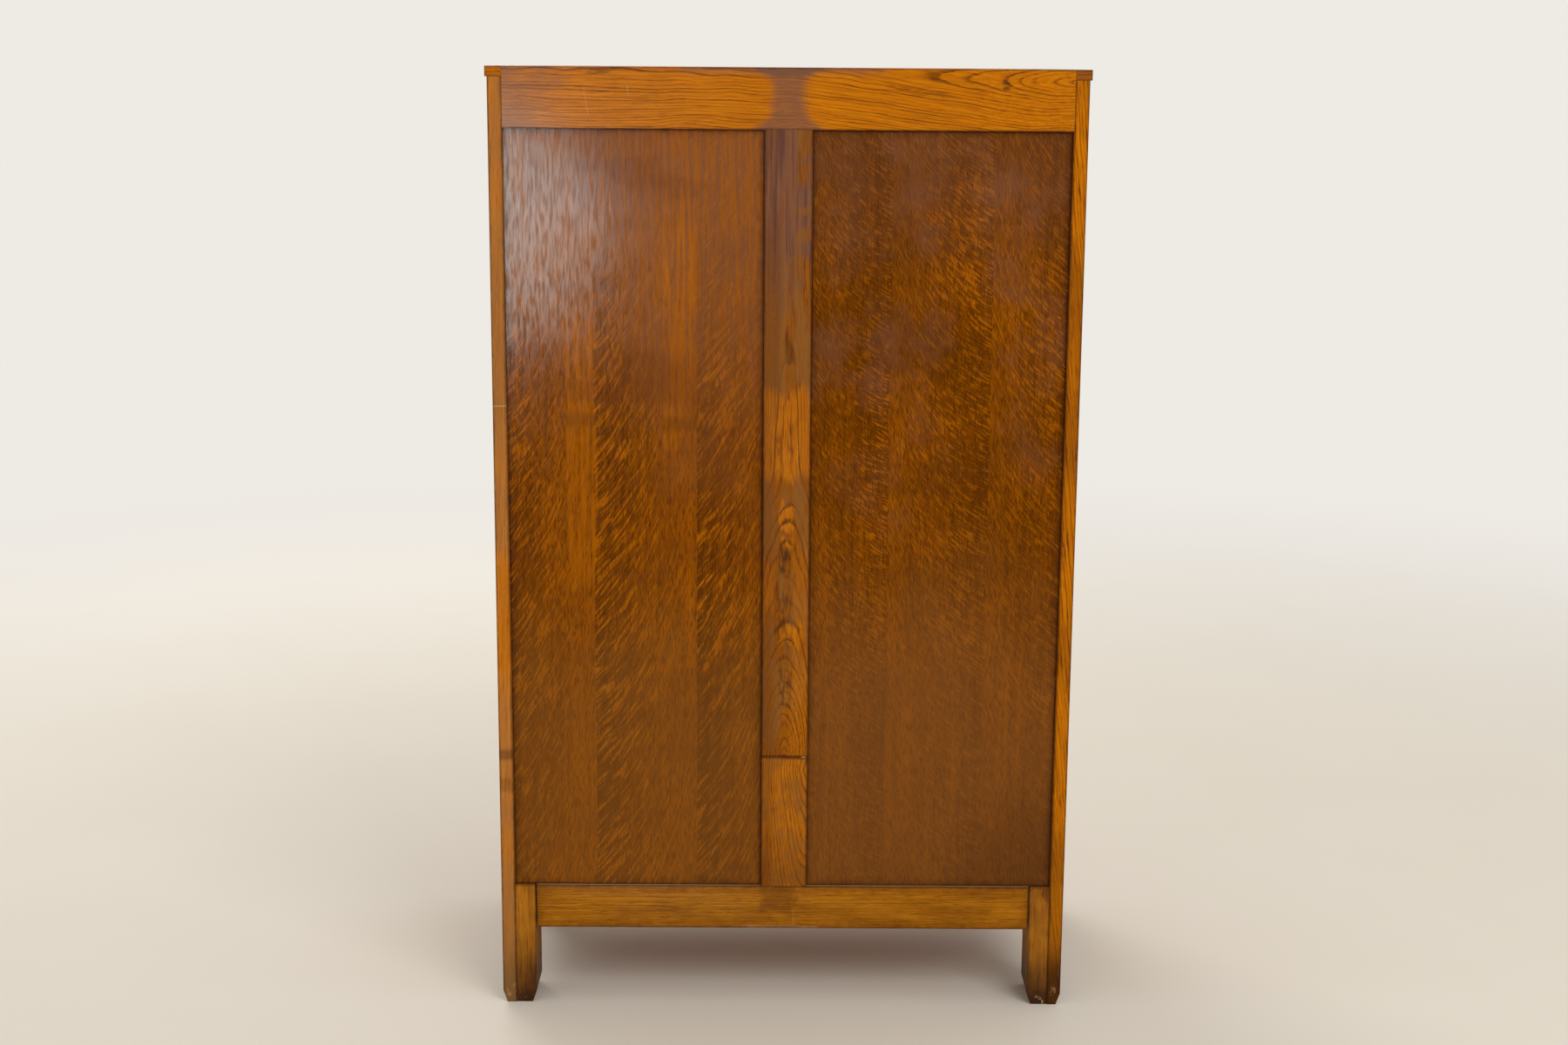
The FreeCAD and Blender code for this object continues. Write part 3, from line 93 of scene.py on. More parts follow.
RIM = 0.0035               # reach of the soiling and painted shade along the edges of a board
PANEL_FOOT = 0.177         # where the frame leaves the panels bare
PANEL_TOP = 1.239
RAIL_END = 0.3505          # half of the bottom rail's length between the leg blocks
SLAT_PITCH = 0.02094
TOP_BOARDS = 4
SIDE_LEAF = 0.145          # width of a veneer leaf in a side panel

# Room for the gathered curtain under the top tracks
CROWN_PLAY = 0.0007
GROOVE_BACK = -0.1698      # rear wall of the tracks' groove
GROOVE_SPAN = 0.752        # from the bottom of one groove to that of the other
STEP_DEPTH = 0.0011
STEP_PLAY = 0.003

FLOOR_SIDE = 60
SENSOR_WIDTH = 36          # in millimetres, as the lens is


# Sizes and colours that a user can change

def linear(red, green, blue):
    """A colour as the eye reads it, from 0 to 255, in the linear numbers that a shader takes."""
    def curve(level):
        level = level / 255
        return level / 12.92 if level <= 0.04045 else ((level + 0.055) / 1.055) ** 2.4
    return (curve(red), curve(green), curve(blue))


def colour(name, description, red, green, blue):
    """A colour of the finish, its default as the eye reads it."""
    return FloatVectorProperty(name=name, description=description, subtype="COLOR", size=3,
                               min=0, max=1, default=linear(red, green, blue))


def length(name, description, default):
    """A length in metres."""
    return FloatProperty(name=name, description=description, default=default, min=0,
                         unit="LENGTH", subtype="DISTANCE", precision=5)


def turn(name, description, degrees):
    """An angle."""
    return FloatProperty(name=name, description=description, default=math.radians(degrees),
                         subtype="ANGLE", unit="ROTATION")


def watts(name, description, default):
    """The power of a lamp."""
    return FloatProperty(name=name, description=description, default=default, min=0, unit="POWER")


class CabinetSizes(bpy.types.PropertyGroup):
    arris: length("Arris", "Rounding of the sawn edges of the frame", 0.0005)
    outer_arris: length("Outer arris", "Rounding of the edges that hands and floors wear", 0.0014)
    inner_arris: length("Inner arris", "Rounding of the boards inside", 0.0008)
    ring: length("Ring", "Width of a growth ring in the frame's oak", 0.0045)
    left_leaf: length("Wide leaf", "Veneer leaf in the back panel beside the right side", 0.1416)
    right_leaf: length("Narrow leaf", "Veneer leaf in the back panel beside the left side", 0.1375)
    fleck: length("Fleck", "Spacing of the ray flecks, measured upwards", 0.0068)
    fleck_length: length("Fleck length", "Length of a ray fleck", 0.042)
    thread: length("Thread", "Spacing of the canvas's threads", 0.0009)


class CabinetColours(bpy.types.PropertyGroup):
    frame_light: colour("Frame, light", "Clear wood of the back's frame", 206, 124, 8)
    frame_mid: colour("Frame, middle", "Wood between the frame's rings", 182, 101, 6)
    frame_dark: colour("Frame, dark", "Open pores of the frame's rings", 88, 48, 8)
    rail_light: colour("Bottom rail, light", "Clear wood of the back's bottom rail and legs", 184, 119, 24)
    rail_mid: colour("Bottom rail, middle", "Wood between the bottom rail's rings", 157, 96, 14)
    rail_dark: colour("Bottom rail, dark", "Open pores of the bottom rail and legs", 90, 50, 14)
    panel_light: colour("Panel, light", "Light side of a veneer leaf", 150, 80, 0)
    panel_ground: colour("Panel, ground", "Ground of a veneer leaf", 112, 58, 2)
    panel_dark: colour("Panel, dark", "Dark side of a veneer leaf, and its pores", 74, 37, 2)
    panel_fleck: colour("Panel, fleck", "Ray flecks in the veneer", 174, 97, 2)
    # The purple grey stands for cloudy varnish on the panels and for a painted reflection on the muntin
    # and the top rail; the darker streaks below are part of that painted reflection
    bloom: colour("Bloom", "Purple grey of varnish that has gone cloudy", 122, 81, 60)
    plum: colour("Plum", "Darker streaks in the cloudy varnish", 92, 58, 52)
    glaze: colour("Glaze", "Reddish brown that old varnish leaves in places", 98, 49, 10)
    dull: colour("Dull", "Grey brown where the varnish is worn thin", 126, 81, 34)
    # Dark colour for soiling and for painted shade, laid along edges, in corners and where parts meet
    grime: colour("Grime", "Dirt in corners and along edges", 44, 24, 14)
    bare: colour("Bare oak", "Splinters and chips where the varnish is gone", 200, 160, 110)
    tambour_light: colour("Tambour, light", "Clear wood of the slats", 190, 116, 36)
    tambour_mid: colour("Tambour, middle", "Wood between the slats' rings", 164, 92, 24)
    tambour_dark: colour("Tambour, dark", "Pores of the slats", 98, 52, 16)
    inner_light: colour("Inside, light", "Clear wood of the shelves and tracks", 206, 160, 102)
    inner_mid: colour("Inside, middle", "Wood between the shelves' rings", 184, 134, 78)
    inner_dark: colour("Inside, dark", "Pores of the shelves and tracks", 132, 88, 46)
    plain_light: colour("Plain wood, light", "Clear wood of blocks, pegs and inner boards", 220, 184, 134)
    plain_mid: colour("Plain wood, middle", "Wood between the rings of the blocks", 202, 160, 106)
    plain_dark: colour("Plain wood, dark", "Late wood of the blocks", 162, 114, 66)
    canvas: colour("Canvas", "Linen threads", 186, 170, 140)
    canvas_gap: colour("Canvas, gaps", "Glue and shade between the threads", 120, 100, 72)
    brass: colour("Brass", "Brass that hands keep clean", 214, 172, 92)
    tarnish: colour("Tarnish", "Brass that nobody touches", 104, 78, 44)
    steel: colour("Steel", "Plain steel", 150, 148, 144)
    rust: colour("Rust", "Brown film on the steel", 92, 74, 60)


class CabinetStage(bpy.types.PropertyGroup):
    lens: FloatProperty(name="Lens", description="Focal length on a sensor 36 mm wide",
                        default=52, min=1, unit="CAMERA")
    stand: FloatVectorProperty(name="Camera", description="Place of the camera", size=3,
                               default=(0.015, 3.2716, 1.327), subtype="XYZ", unit="LENGTH")
    down: turn("Down", "How far the camera looks down", 11.49)
    roll: turn("Roll", "How far the camera leans clockwise", 0.417)
    aside: turn("Aside", "How far the camera turns about the upright", -0.247)
    floor: colour("Floor", "Plain floor", 226, 219, 206)
    floor_speck: colour("Floor, specks", "Darker patches of the floor", 214, 204, 188)
    backdrop: colour("Backdrop", "What lies behind the floor", 238, 234, 228)
    daylight: FloatProperty(name="Daylight", description="Strength of the even light of the room",
                            default=0.72, min=0, max=1, subtype="FACTOR")
    key_watts: watts("Key", "Soft lamp in front of the back, high up", 64)
    fill_watts: watts("Fill", "Soft lamp on the tambour's side", 62)
    window_watts: watts("Window", "Low lamp that the back mirrors", 240)


# Shader maths

class Value:
    """A number that varies over a surface. Sums and products of such numbers add Math nodes."""

    def __init__(self, shader, socket):
        self.shader = shader
        self.socket = socket

    def math(self, operation, *others):
        return self.shader.math(operation, self, *others)

    def __add__(self, other):
        return self.math("ADD", other)

    __radd__ = __add__

    def __sub__(self, other):
        return self.math("SUBTRACT", other)

    def __rsub__(self, other):
        return self.shader.math("SUBTRACT", other, self)

    def __mul__(self, other):
        return self.math("MULTIPLY", other)

    __rmul__ = __mul__

    def at_least(self, other):
        return self.math("MAXIMUM", other)

    def at_most(self, other):
        return self.math("MINIMUM", other)

    def size(self):
        return self.math("ABSOLUTE")

    def clamped(self):
        return self.at_most(1.0).at_least(0.0)

    def over(self, low, high):
        """0 below low and 1 above high, with an even step between them, or the other way round."""
        step = self.shader.node("ShaderNodeMapRange", {"interpolation_type": "SMOOTHSTEP"},
                                {0: self, 1: low, 2: high, 3: 0.0, 4: 1.0})
        return Value(self.shader, step.outputs[0])

    def within(self, low, high, soft):
        """1 between low and high, fading to 0 over a soft edge on both sides."""
        return self.over(low - soft, low) * self.over(high + soft, high)


class Shader:
    """The nodes of a material or of the world. A colour is numbers, a socket or a name of one."""

    def __init__(self, owner):
        self.owner = owner
        owner.use_nodes = True
        self.tree = owner.node_tree
        self.tree.nodes.clear()
        self.colours = bpy.context.scene.cabinet_colours

    def tint(self, value):
        """The numbers of a colour that is given by its name."""
        return getattr(self.colours, value) if isinstance(value, str) else value

    def node(self, kind, settings=None, sockets=None):
        """Adds a node of a kind: first its settings, then the values and links of its sockets."""
        node = self.tree.nodes.new(kind)
        for setting, value in (settings or {}).items():
            if setting == "stops":
                self.set_stops(node.color_ramp, value)
            else:
                setattr(node, setting, value)
        for socket, value in (sockets or {}).items():
            value = value.socket if isinstance(value, Value) else self.tint(value)
            if isinstance(value, bpy.types.NodeSocket):
                self.tree.links.new(value, node.inputs[socket])
            elif node.inputs[socket].type == "RGBA":
                node.inputs[socket].default_value = (*value, 1.0)
            else:
                node.inputs[socket].default_value = value
        return node

    def set_stops(self, ramp, stops):
        """The colours of a ramp: each stop is a place and a colour."""
        while len(ramp.elements) < len(stops):
            ramp.elements.new(1.0)
        for element, (place, stop_colour) in zip(ramp.elements, stops):
            element.position = place
            element.color = (*self.tint(stop_colour), 1.0)

    def math(self, operation, *numbers):
        node = self.node("ShaderNodeMath", {"operation": operation}, dict(enumerate(numbers)))
        return Value(self, node.outputs[0])

    def seen(self):
        """1 where the camera or a mirror looks, and 0 for the light that falls on things."""
        path = self.node("ShaderNodeLightPath")
        return Value(self, path.outputs["Is Camera Ray"]).at_least(path.outputs["Is Glossy Ray"])

    def blend(self, amount, first, second):
        """Two shaders, the second by an amount."""
        return self.node("ShaderNodeMixShader", {}, {0: amount, 1: first, 2: second}).outputs[0]


class Finish(Shader):
    """One material. Its wood or metal is laid down first, and stains change its colour."""

    def __init__(self, name, roughness=0.35, metallic=0.0, coat=0.0, shine=0.5):
        super().__init__(bpy.data.materials.new(name))
        self.sizes = bpy.context.scene.cabinet_sizes
        self.surface = self.node("ShaderNodeBsdfPrincipled", {},
                                 {"Roughness": roughness, "Metallic": metallic, "Coat Weight": coat,
                                  "Coat Roughness": 0.12, "Specular IOR Level": shine})
        place = self.node("ShaderNodeTexCoord")
        apart = self.node("ShaderNodeSeparateXYZ", {}, {0: place.outputs["Object"]})
        self.place = [Value(self, socket) for socket in apart.outputs]
        self.base = None
        self.relief = None
        self.streak = None

    def noise(self, x, y, z, detail=2.0, roughness=0.5):
        """Soft noise about 0.5, whose grain is one unit of each number."""
        vector = self.node("ShaderNodeCombineXYZ", {}, {0: x, 1: y, 2: z}).outputs[0]
        cloud = self.node("ShaderNodeTexNoise", {}, {"Vector": vector, "Scale": 1.0,
                                                     "Detail": detail, "Roughness": roughness})
        return Value(self, cloud.outputs[0])

    def cloud(self, across, deep, up, detail=2.0, roughness=0.5, shift=0.0):
        """Noise on the object itself, given by its grains in a metre along x, y and z."""
        x, y, z = self.place
        return self.noise(x * across + shift, y * deep, z * up, detail, roughness)

    def chance(self, number):
        """A number from 0 to 1 that is another one for each whole number."""
        dice = self.node("ShaderNodeTexWhiteNoise", {"noise_dimensions": "1D"}, {"W": number})
        return Value(self, dice.outputs[0])

    def mix(self, amount, first, second):
        node = self.node("ShaderNodeMix", {"data_type": "RGBA"}, {0: amount, 6: first, 7: second})
        return node.outputs[2]

    def ramp(self, amount, *stops):
        return self.node("ShaderNodeValToRGB", {"stops": stops}, {0: amount}).outputs[0]

    def stain(self, amount, stain_colour):
        """Lays a colour over what is there."""
        self.base = self.mix(amount, self.base, stain_colour)

    def edge(self, low, high, reach, raggedness=0.4):
        """1 on the edges of a box, fading to 0 over a ragged reach across its faces.

        A point of a face is at no distance from that face, so its distance from the nearest edge
        is the middle one of its distances along the three axes.
        """
        first, second, third = ((number - start).at_most(end - number)
                                for number, start, end in zip(self.place, low, high))
        middle = first.at_most(second).at_least(first.at_least(second).at_most(third))
        ragged = self.cloud(90, 90, 90, 3) - 0.5
        return (middle + ragged * (2 * raggedness * reach)).over(reach, 0.0)

    def soil_edges(self, low, high, amount, reach=RIM, raggedness=0.4):
        """Soiling and painted shade along the edges of a box, standing in for the shade where parts meet.
        """
        self.stain(self.edge(low, high, reach, raggedness) * amount, "grime")

    def join(self, roughness=None, depth=WOOD_RELIEF, coat=None):
        """Joins the colour, the roughness, the coat and the relief to the surface."""
        links = {"Base Color": self.base, "Roughness": roughness, "Coat Weight": coat}
        if self.relief is not None:
            bump = self.node("ShaderNodeBump", {}, {"Strength": 1.0, "Distance": depth,
                                                    "Height": self.relief})
            links["Normal"] = bump.outputs[0]
        for socket, value in links.items():
            if value is not None:
                source = value.socket if isinstance(value, Value) else value
                self.tree.links.new(source, self.surface.inputs[socket])
        return self.surface.outputs[0]

    def show(self, shader):
        self.node("ShaderNodeOutputMaterial", {}, {0: shader})
        return self.owner

    def paint(self, roughness=None, depth=WOOD_RELIEF, coat=None):
        """The material, once its colour and relief are laid down."""
        return self.show(self.join(roughness, depth, coat))


# Patterns of the wood. A place in it is three numbers: along the grain, across and depth

def drawn_out(finish, place, mark_length, mark_width, detail=2.0, roughness=0.6):
    """Noise whose marks are long along the grain."""
    along, across, depth = place
    return finish.noise(along * (1 / mark_length), across * (1 / mark_width),
                        depth * (1 / mark_width), detail, roughness)


def growth_rings(finish, place, ring, waver):
    """Plain-sawn grain: 1 in the dark pores where a ring starts, fading to 0 in its clear wood.

    Across and depth are measured from the pith, so a board cut near it shows nested arches.
    """
    along, across, depth = place
    sway = finish.noise(along * 11, across * 20, depth * 20, 1) - 0.5
    shiver = finish.noise(along * 45, across * 110, depth * 110, 2) - 0.5
    radius = (across * across + depth * depth).math("SQRT")
    radius = radius + sway * waver + shiver * (0.10 * waver)
    bunching = finish.noise(radius * (0.45 / ring), 3.1, 7.7, 1) - 0.5
    count = radius * (1 / ring) + bunching * 1.6
    phase = count.math("FRACT")
    late = phase.over(0.55, 0.06)
    boldness = finish.chance(count.math("FLOOR") + 0.5) * 0.8 + 0.55
    return (late * late * phase.over(0.0, 0.07) * boldness).at_most(1.0)


def strokes(finish, place, stroke_length=0.030, stroke_width=0.0017):
    """Dark broken strokes along the grain, longer and wider than pores."""
    return drawn_out(finish, place, stroke_length, stroke_width).over(0.52, 0.68)


def lay_oak(finish, sort, place, ring=1.0, waver=0.008, strength=1.0, broken=0.4):
    """Oak in the three colours of a sort, with the relief of its pores and its long streaks.

    Ring is a share of the usual ring's width. Strength is how dark its rings are, and broken how
    much of its dark lies in short strokes.
    """
    along, across, depth = place
    early = growth_rings(finish, place, finish.sizes.ring * ring, waver)
    pores = drawn_out(finish, place, 0.009, 0.0007, 1.5).over(0.54, 0.70)
    streak = drawn_out(finish, place, 0.14, 0.004, 3)
    fine = finish.noise(along * 16, across * 900, depth * 900, 2)
    thin = 1.0 - fine.over(0.40, 0.62) * 0.45
    amount = early * thin * (0.72 * strength) + strokes(finish, place) * broken + (streak - 0.5)
    amount = (amount + (fine - 0.5) * 0.5 + pores * 0.14 + 0.22).clamped()
    finish.base = finish.ramp(amount, (0.0, f"{sort}_light"), (0.42, f"{sort}_mid"),
                              (1.0, f"{sort}_dark"))
    finish.relief = (1.0 - pores) * 0.6 + (1.0 - early) * 0.4
    finish.streak = streak


def varnish(finish, fine_share=1.0):
    """Roughness of an old hand-rubbed varnish."""
    worn = finish.cloud(14, 14, 14, 3)
    fine = finish.cloud(160, 160, 160, 2)
    return 0.12 + worn * 0.11 + fine * (0.06 * fine_share) + (finish.streak - 0.5) * 0.05


def leaf_figure(finish, across, up, leaf, lean, slants, offset, fineness):
    """Quarter-sawn veneer in leaves side by side: where a leaf is, its ray flecks and its lines.

    In each leaf the flecks turn evenly from the first slant to the second, measured from the
    level. Lean is 1 where they rise to the right and -1 where they fall.
    """
    place = (across + offset) * (1 / leaf)
    number = place.math("FLOOR")
    part = place - number
    first, second = (math.radians(slant) for slant in slants)
    bend = second - first
    wander = finish.noise(across * 5, up * 2.2, number * 0.31, 2) - 0.5
    slant = part * bend + first + wander * 0.22
    rise = slant.math("COSINE").math("LOGARITHM", math.e) * (leaf / bend)
    level = up + rise * lean
    along = part * leaf + up * (0.6 * lean)
    drift = number * 0.29
    gap = finish.sizes.fleck / fineness
    reach = finish.sizes.fleck_length / fineness
    patch = finish.noise(across * 17, up * 9, number * 0.8, 2) - 0.5
    large = finish.noise(level * (1 / gap), along * (1 / reach), drift, 1.5, 0.45)
    small = finish.noise(level * (2.1 / gap), along * (1.6 / reach), drift + 5.0, 1.0, 0.5)
    flecks = (large + patch * 0.26).over(0.53, 0.60)
    lines = (small + patch * 0.20).over(0.52, 0.60)
    return part, number, flecks, lines


def lay_veneer(finish, place, leaf, lean, slants, offset=0.0, fineness=1.0, clear=1.0, fade=0.45):
    """The colour and relief of a veneered panel. Its place is across, up and depth.

    Clear is how plainly its flecks show, and fade how much of that each leaf's light side loses.
    """
    across, up, depth = place
    part, number, flecks, lines = leaf_figure(finish, across, up, leaf, lean, slants, offset, fineness)
    streak = finish.noise(across * 110, up * 4, depth * 110, 3, 0.6)
    fine = finish.noise(across * 430, up * 62, depth * 100, 2.5, 0.6)
    lit = part if lean > 0 else 1.0 - part
    tone = finish.chance(number + 0.5) - 0.5
    ground = (lit.over(-0.15, 1.0) * (1.2 * fade) + (streak - 0.5) * 1.1 + tone * 0.10
              + (0.46 - 0.6 * fade)).clamped()
    finish.base = finish.ramp(ground, (0.0, "panel_dark"), (0.45, "panel_ground"), (1.0, "panel_light"))
    finish.stain((flecks * 0.62 + lines * 0.34).clamped() * ((1.0 - lit * fade) * clear), "panel_fleck")
    finish.stain(fine.over(0.50, 0.62) * 0.60, "panel_dark")
    finish.relief = fine.over(0.62, 0.45) * 0.7 + flecks * 0.3
    finish.streak = streak


def patches(first, second, boxes):
    """The sum of soft boxes in two numbers, each with its two spans and its strength."""
    total = 0.0
    for first_span, second_span, strength in boxes:
        total = first.within(*first_span) * second.within(*second_span) * strength + total
    return total


def scratch(across, height, start, start_height, end, end_height, width):
    """1 on a thin scratch from one point of the back to another."""
    run = (height - start_height) * (1 / (end_height - start_height))
    line = run * (end - start) + start
    return (across - line).size().over(width, 0.0) * run.over(-0.05, 0.05) * run.over(1.05, 0.95)


# Making pieces

def deselect():
    bpy.ops.object.select_all(action="DESELECT")


def activate(piece):
    """Selects one piece and nothing else."""
    deselect()
    piece.select_set(True)
    bpy.context.view_layer.objects.active = piece


def merged_copy(node):
    """A copy of a CAD node's mesh as a piece of its own, its triangles joined to whole faces."""
    piece = bpy.data.objects.new(f"{node}_finished", frame["nodes"][node].data.copy())
    bpy.context.collection.objects.link(piece)
    activate(piece)
    bpy.ops.mesh.customdata_custom_splitnormals_clear()
    bpy.ops.object.mode_set(mode="EDIT")
    bpy.ops.mesh.select_all(action="SELECT")
    bpy.ops.mesh.remove_doubles(threshold=0.00001)
    bpy.ops.mesh.dissolve_limited(angle_limit=math.radians(1))
    bpy.ops.object.mode_set(mode="OBJECT")
    return piece


def smooth_faces(degrees):
    """Shades the active piece smooth across edges that turn by less than an angle."""
    bpy.ops.object.shade_smooth_by_angle(angle=math.radians(degrees))


def round_edges(piece, width):
    """Rounds the sharp edges of a piece and keeps its broad faces flat."""
    activate(piece)
    bpy.ops.object.modifier_add(type="BEVEL")
    bevel = piece.modifiers[-1]
    bevel.width = width
    bevel.segments = 2
    bevel.limit_method = "ANGLE"
    bevel.angle_limit = math.radians(28)
    bevel.use_clamp_overlap = True
    bpy.ops.object.modifier_apply(modifier=bevel.name)
    smooth_faces(20)


def dress(node, material, arris=None, smooth=None, shape=None):
    """Makes the piece that replaces a CAD node.

    Arris names the size by which its edges are rounded. Smooth is the angle up to which a turned or
    moulded piece is shaded smooth instead, and shape a function that cuts the piece first.
    """
    piece = merged_copy(node)
    if shape:
        shape(piece)
    if arris:
        round_edges(piece, getattr(bpy.context.scene.cabinet_sizes, arris))
    if smooth:
        smooth_faces(smooth)
    piece.data.materials.clear()
    piece.data.materials.append(material)
    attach(piece, BODY_OF[node])
    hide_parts(node)
    return piece


def wear_finish(node, material):
    """A better finish for a CAD node whose shape stays."""
    part = frame["nodes"][node]
    part.data.materials.clear()
    part.data.materials.append(material)


def board_finish(node, along, sort, grime=0.0, ring=1.0, dull=0.0):
    """Plain-sawn wood for a straight board, cut at a place of its own out of the log."""
    low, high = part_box(node)
    middle = (low + high) / 2
    draw = random.Random(node)
    finish = Finish(f"{node}_wood", coat=0.04 * (1 - dull), shine=0.08)
    numbers = [number - centre for number, centre in zip(finish.place, middle)]
    sides = [end - start for start, end in zip(low, high)]
    way = "xyz".index(along)
    thin, wide = sorted((axis for axis in range(3) if axis != way), key=lambda axis: sides[axis])
    length_way = numbers[way] + draw.uniform(-5, 5)
    across = numbers[wide] + draw.uniform(-0.4, 0.4) * sides[wide]
    tilt = draw.choice((-1, 1)) * draw.uniform(0.03, 0.07)
    depth = numbers[thin] + numbers[way] * tilt + draw.uniform(0.05, 0.11)
    lay_oak(finish, sort, (length_way, across, depth), ring)
    cloud = finish.cloud(5, 5, 5, 2, shift=draw.uniform(0, 9))
    finish.stain(cloud.over(0.45, 0.75) * 0.35, "glaze")
    # Soiling and painted shade along the board's edges
    if grime:
        finish.soil_edges(low, high, grime, 0.006)
    return finish.paint(varnish(finish) + 0.35 * dull)


# The back

class CABINET_OT_back_frame(bpy.types.Operator):
    """Finish the rails and the muntin of the back"""
    bl_idname = "cabinet.back_frame"
    bl_label = "Frame of the Back"

    def execute(self, context):
        dress("back_top_rail", top_rail_finish(), "arris")
        dress("back_muntin_upper", upper_muntin_finish(), "arris")
        dress("back_muntin_lower", lower_muntin_finish(), "arris")
        dress("back_bottom_rail", bottom_rail_finish(), "arris")
        return {"FINISHED"}


def top_rail_finish():
    """Bright orange oak whose rings rise out of the board towards one end, as nested arcs."""
    finish = Finish("top_rail_oak", coat=0.03, shine=0.015)
    x, y, z = finish.place
    along = 0.0 - x
    beyond = along.at_least(0.0)
    far_slope = (along - 0.25).at_least(0.0) * 0.15
    middle_slope = beyond.at_most(0.25) * 0.04
    near_slope = along.at_most(0.0) * 0.02
    depth = 0.0330 - far_slope - middle_slope - near_slope
    pith = 1.336 - beyond.at_most(0.28) * 0.115
    place = (along, z - pith, depth)
    lay_oak(finish, "frame", place, 0.85, 0.012, 0.95, 0.20)
    finish.stain(strokes(finish, place, 0.085, 0.0022) * 0.50, "rail_mid")
    ragged = finish.cloud(50, 9, 260, 2).over(0.30, 0.62)
    spots = patches(along, z, (
        ((0.287, 0.291, 0.005), (1.294, 1.303, 0.006), 0.62),
        ((-0.262, -0.240, 0.010), (1.311, 1.3145, 0.003), 0.5),
    ))
    slanting = along.within(0.155, 0.200, 0.035) * (z + along * 0.12).within(1.3095, 1.3120, 0.005)
    finish.stain((spots + slanting * 0.42) * ragged, "grime")
    # Purple grey down the middle, where the muntin's band carries on: a painted reflection. The far end
    # and the top lip get the same purple grey.
    drift = finish.cloud(26, 26, 34, 3) - 0.5
    bulge = (z - 1.281) * (1 / 0.041)
    flare = bulge * bulge * bulge * bulge * 0.026
    middle = ((along + drift * 0.016 - 0.001).size() - flare).over(0.032, 0.013)
    end = (along + drift * 0.12).over(-0.280, -0.375)
    lip = (z + drift * 0.010).over(1.306, 1.320) * along.within(-0.12, 0.10, 0.05)
    lines = finish.cloud(60, 9, 330, 2).over(0.34, 0.66)
    cloudy = (middle * 0.86 + end * 0.62 + lip * 0.7) * (lines * 0.25 + 0.75)
    finish.stain(cloudy.clamped(), "bloom")
    scratches = scratch(along, z, -0.272, 1.293, -0.266, 1.258, 0.0010).at_least(
        scratch(along, z, -0.214, 1.296, -0.213, 1.284, 0.0012))
    finish.stain(scratches * 0.28, "bare")
    # Soiling and painted shade along its edges
    finish.soil_edges(*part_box("back_top_rail"), 0.5)
    return finish.paint(varnish(finish))


def upper_muntin_finish():
    """The long muntin: a painted reflection in purple grey at the top, streaked and arched further down.
    """
    finish = Finish("upper_muntin_oak", coat=0.03, shine=0.015)
    x, y, z = finish.place
    across = (0.0 - x - 0.001) * (z.over(0.72, 0.80) * 0.8 + 1.0)
    low_slope = (z - 0.50).at_most(0.0) * 0.27
    middle_slope = (z - 0.50).at_least(0.0).at_most(0.24) * 0.125
    high_slope = (z - 0.74).at_least(0.0) * 0.035
    depth = 0.036 + low_slope + middle_slope + high_slope
    lay_oak(finish, "frame", (z, across, depth), 0.9, 0.010, 1.0, 0.36)
    ragged = finish.cloud(70, 9, 16, 3) - 0.5
    level = z + ragged * 0.05
    side = across + ragged * 0.014
    bright = level.within(0.776, 0.878, 0.018) + patches(level, side, (
        ((0.700, 0.728, 0.008), (-0.007, 0.010, 0.004), 1.0),
        ((0.670, 0.682, 0.006), (-0.006, 0.008, 0.004), 1.0),
        ((0.538, 0.556, 0.007), (-0.004, 0.018, 0.006), 1.0),
    ))
    bright = (bright + level.over(0.700, 0.660) * side.over(0.004, 0.016) * 0.40
              + level.over(0.520, 0.480) * side.over(-0.012, 0.004) * 0.30).clamped()
    tone = finish.cloud(40, 9, 9, 3)
    dull = (1.0 - bright) * (tone.over(0.30, 0.62) * 0.30 + 0.34) + 0.20
    finish.stain(dull, finish.mix(tone.over(0.42, 0.58), "glaze", "dull"))
    smudges = patches(across, z, (
        ((-0.006, 0.004, 0.006), (0.640, 0.670, 0.015), 1.0),
        ((-0.010, 0.006, 0.008), (0.545, 0.600, 0.030), 0.6),
        ((-0.006, 0.006, 0.006), (0.455, 0.490, 0.020), 0.7),
        ((-0.026, -0.018, 0.008), (0.800, 0.820, 0.014), 0.7),
        ((0.006, 0.014, 0.008), (0.806, 0.836, 0.016), 0.6),
    ))
    finish.stain(smudges * finish.cloud(260, 9, 60, 2).over(0.38, 0.62) * 0.7, "grime")
    # Purple grey with darker streaks towards the top: a painted reflection, a vertical band that carries
    # on into the top rail
    drift = finish.cloud(60, 9, 14, 2) - 0.5
    blotches = finish.cloud(12, 9, 24, 2) - 0.5
    clear_side = (across + drift * 0.014).over(0.015, 0.026) * blotches.over(-0.10, 0.04)
    lines = finish.cloud(170, 9, 5, 3)
    cloudy = (z + drift * 0.30).over(0.95, 1.13) * (1.0 - clear_side * 0.85)
    finish.stain(cloudy * (lines.over(0.30, 0.62) * 0.35 + 0.60),
                 finish.mix(lines.over(0.44, 0.60) * 0.85, "bloom", "plum"))
    finish.stain(across.over(-0.006, -0.026) * 0.45 * tone.over(0.36, 0.58), "glaze")
    # Soiling and painted shade along its edges
    finish.soil_edges(*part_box("back_muntin_upper"), 0.55)
    return finish.paint(varnish(finish))


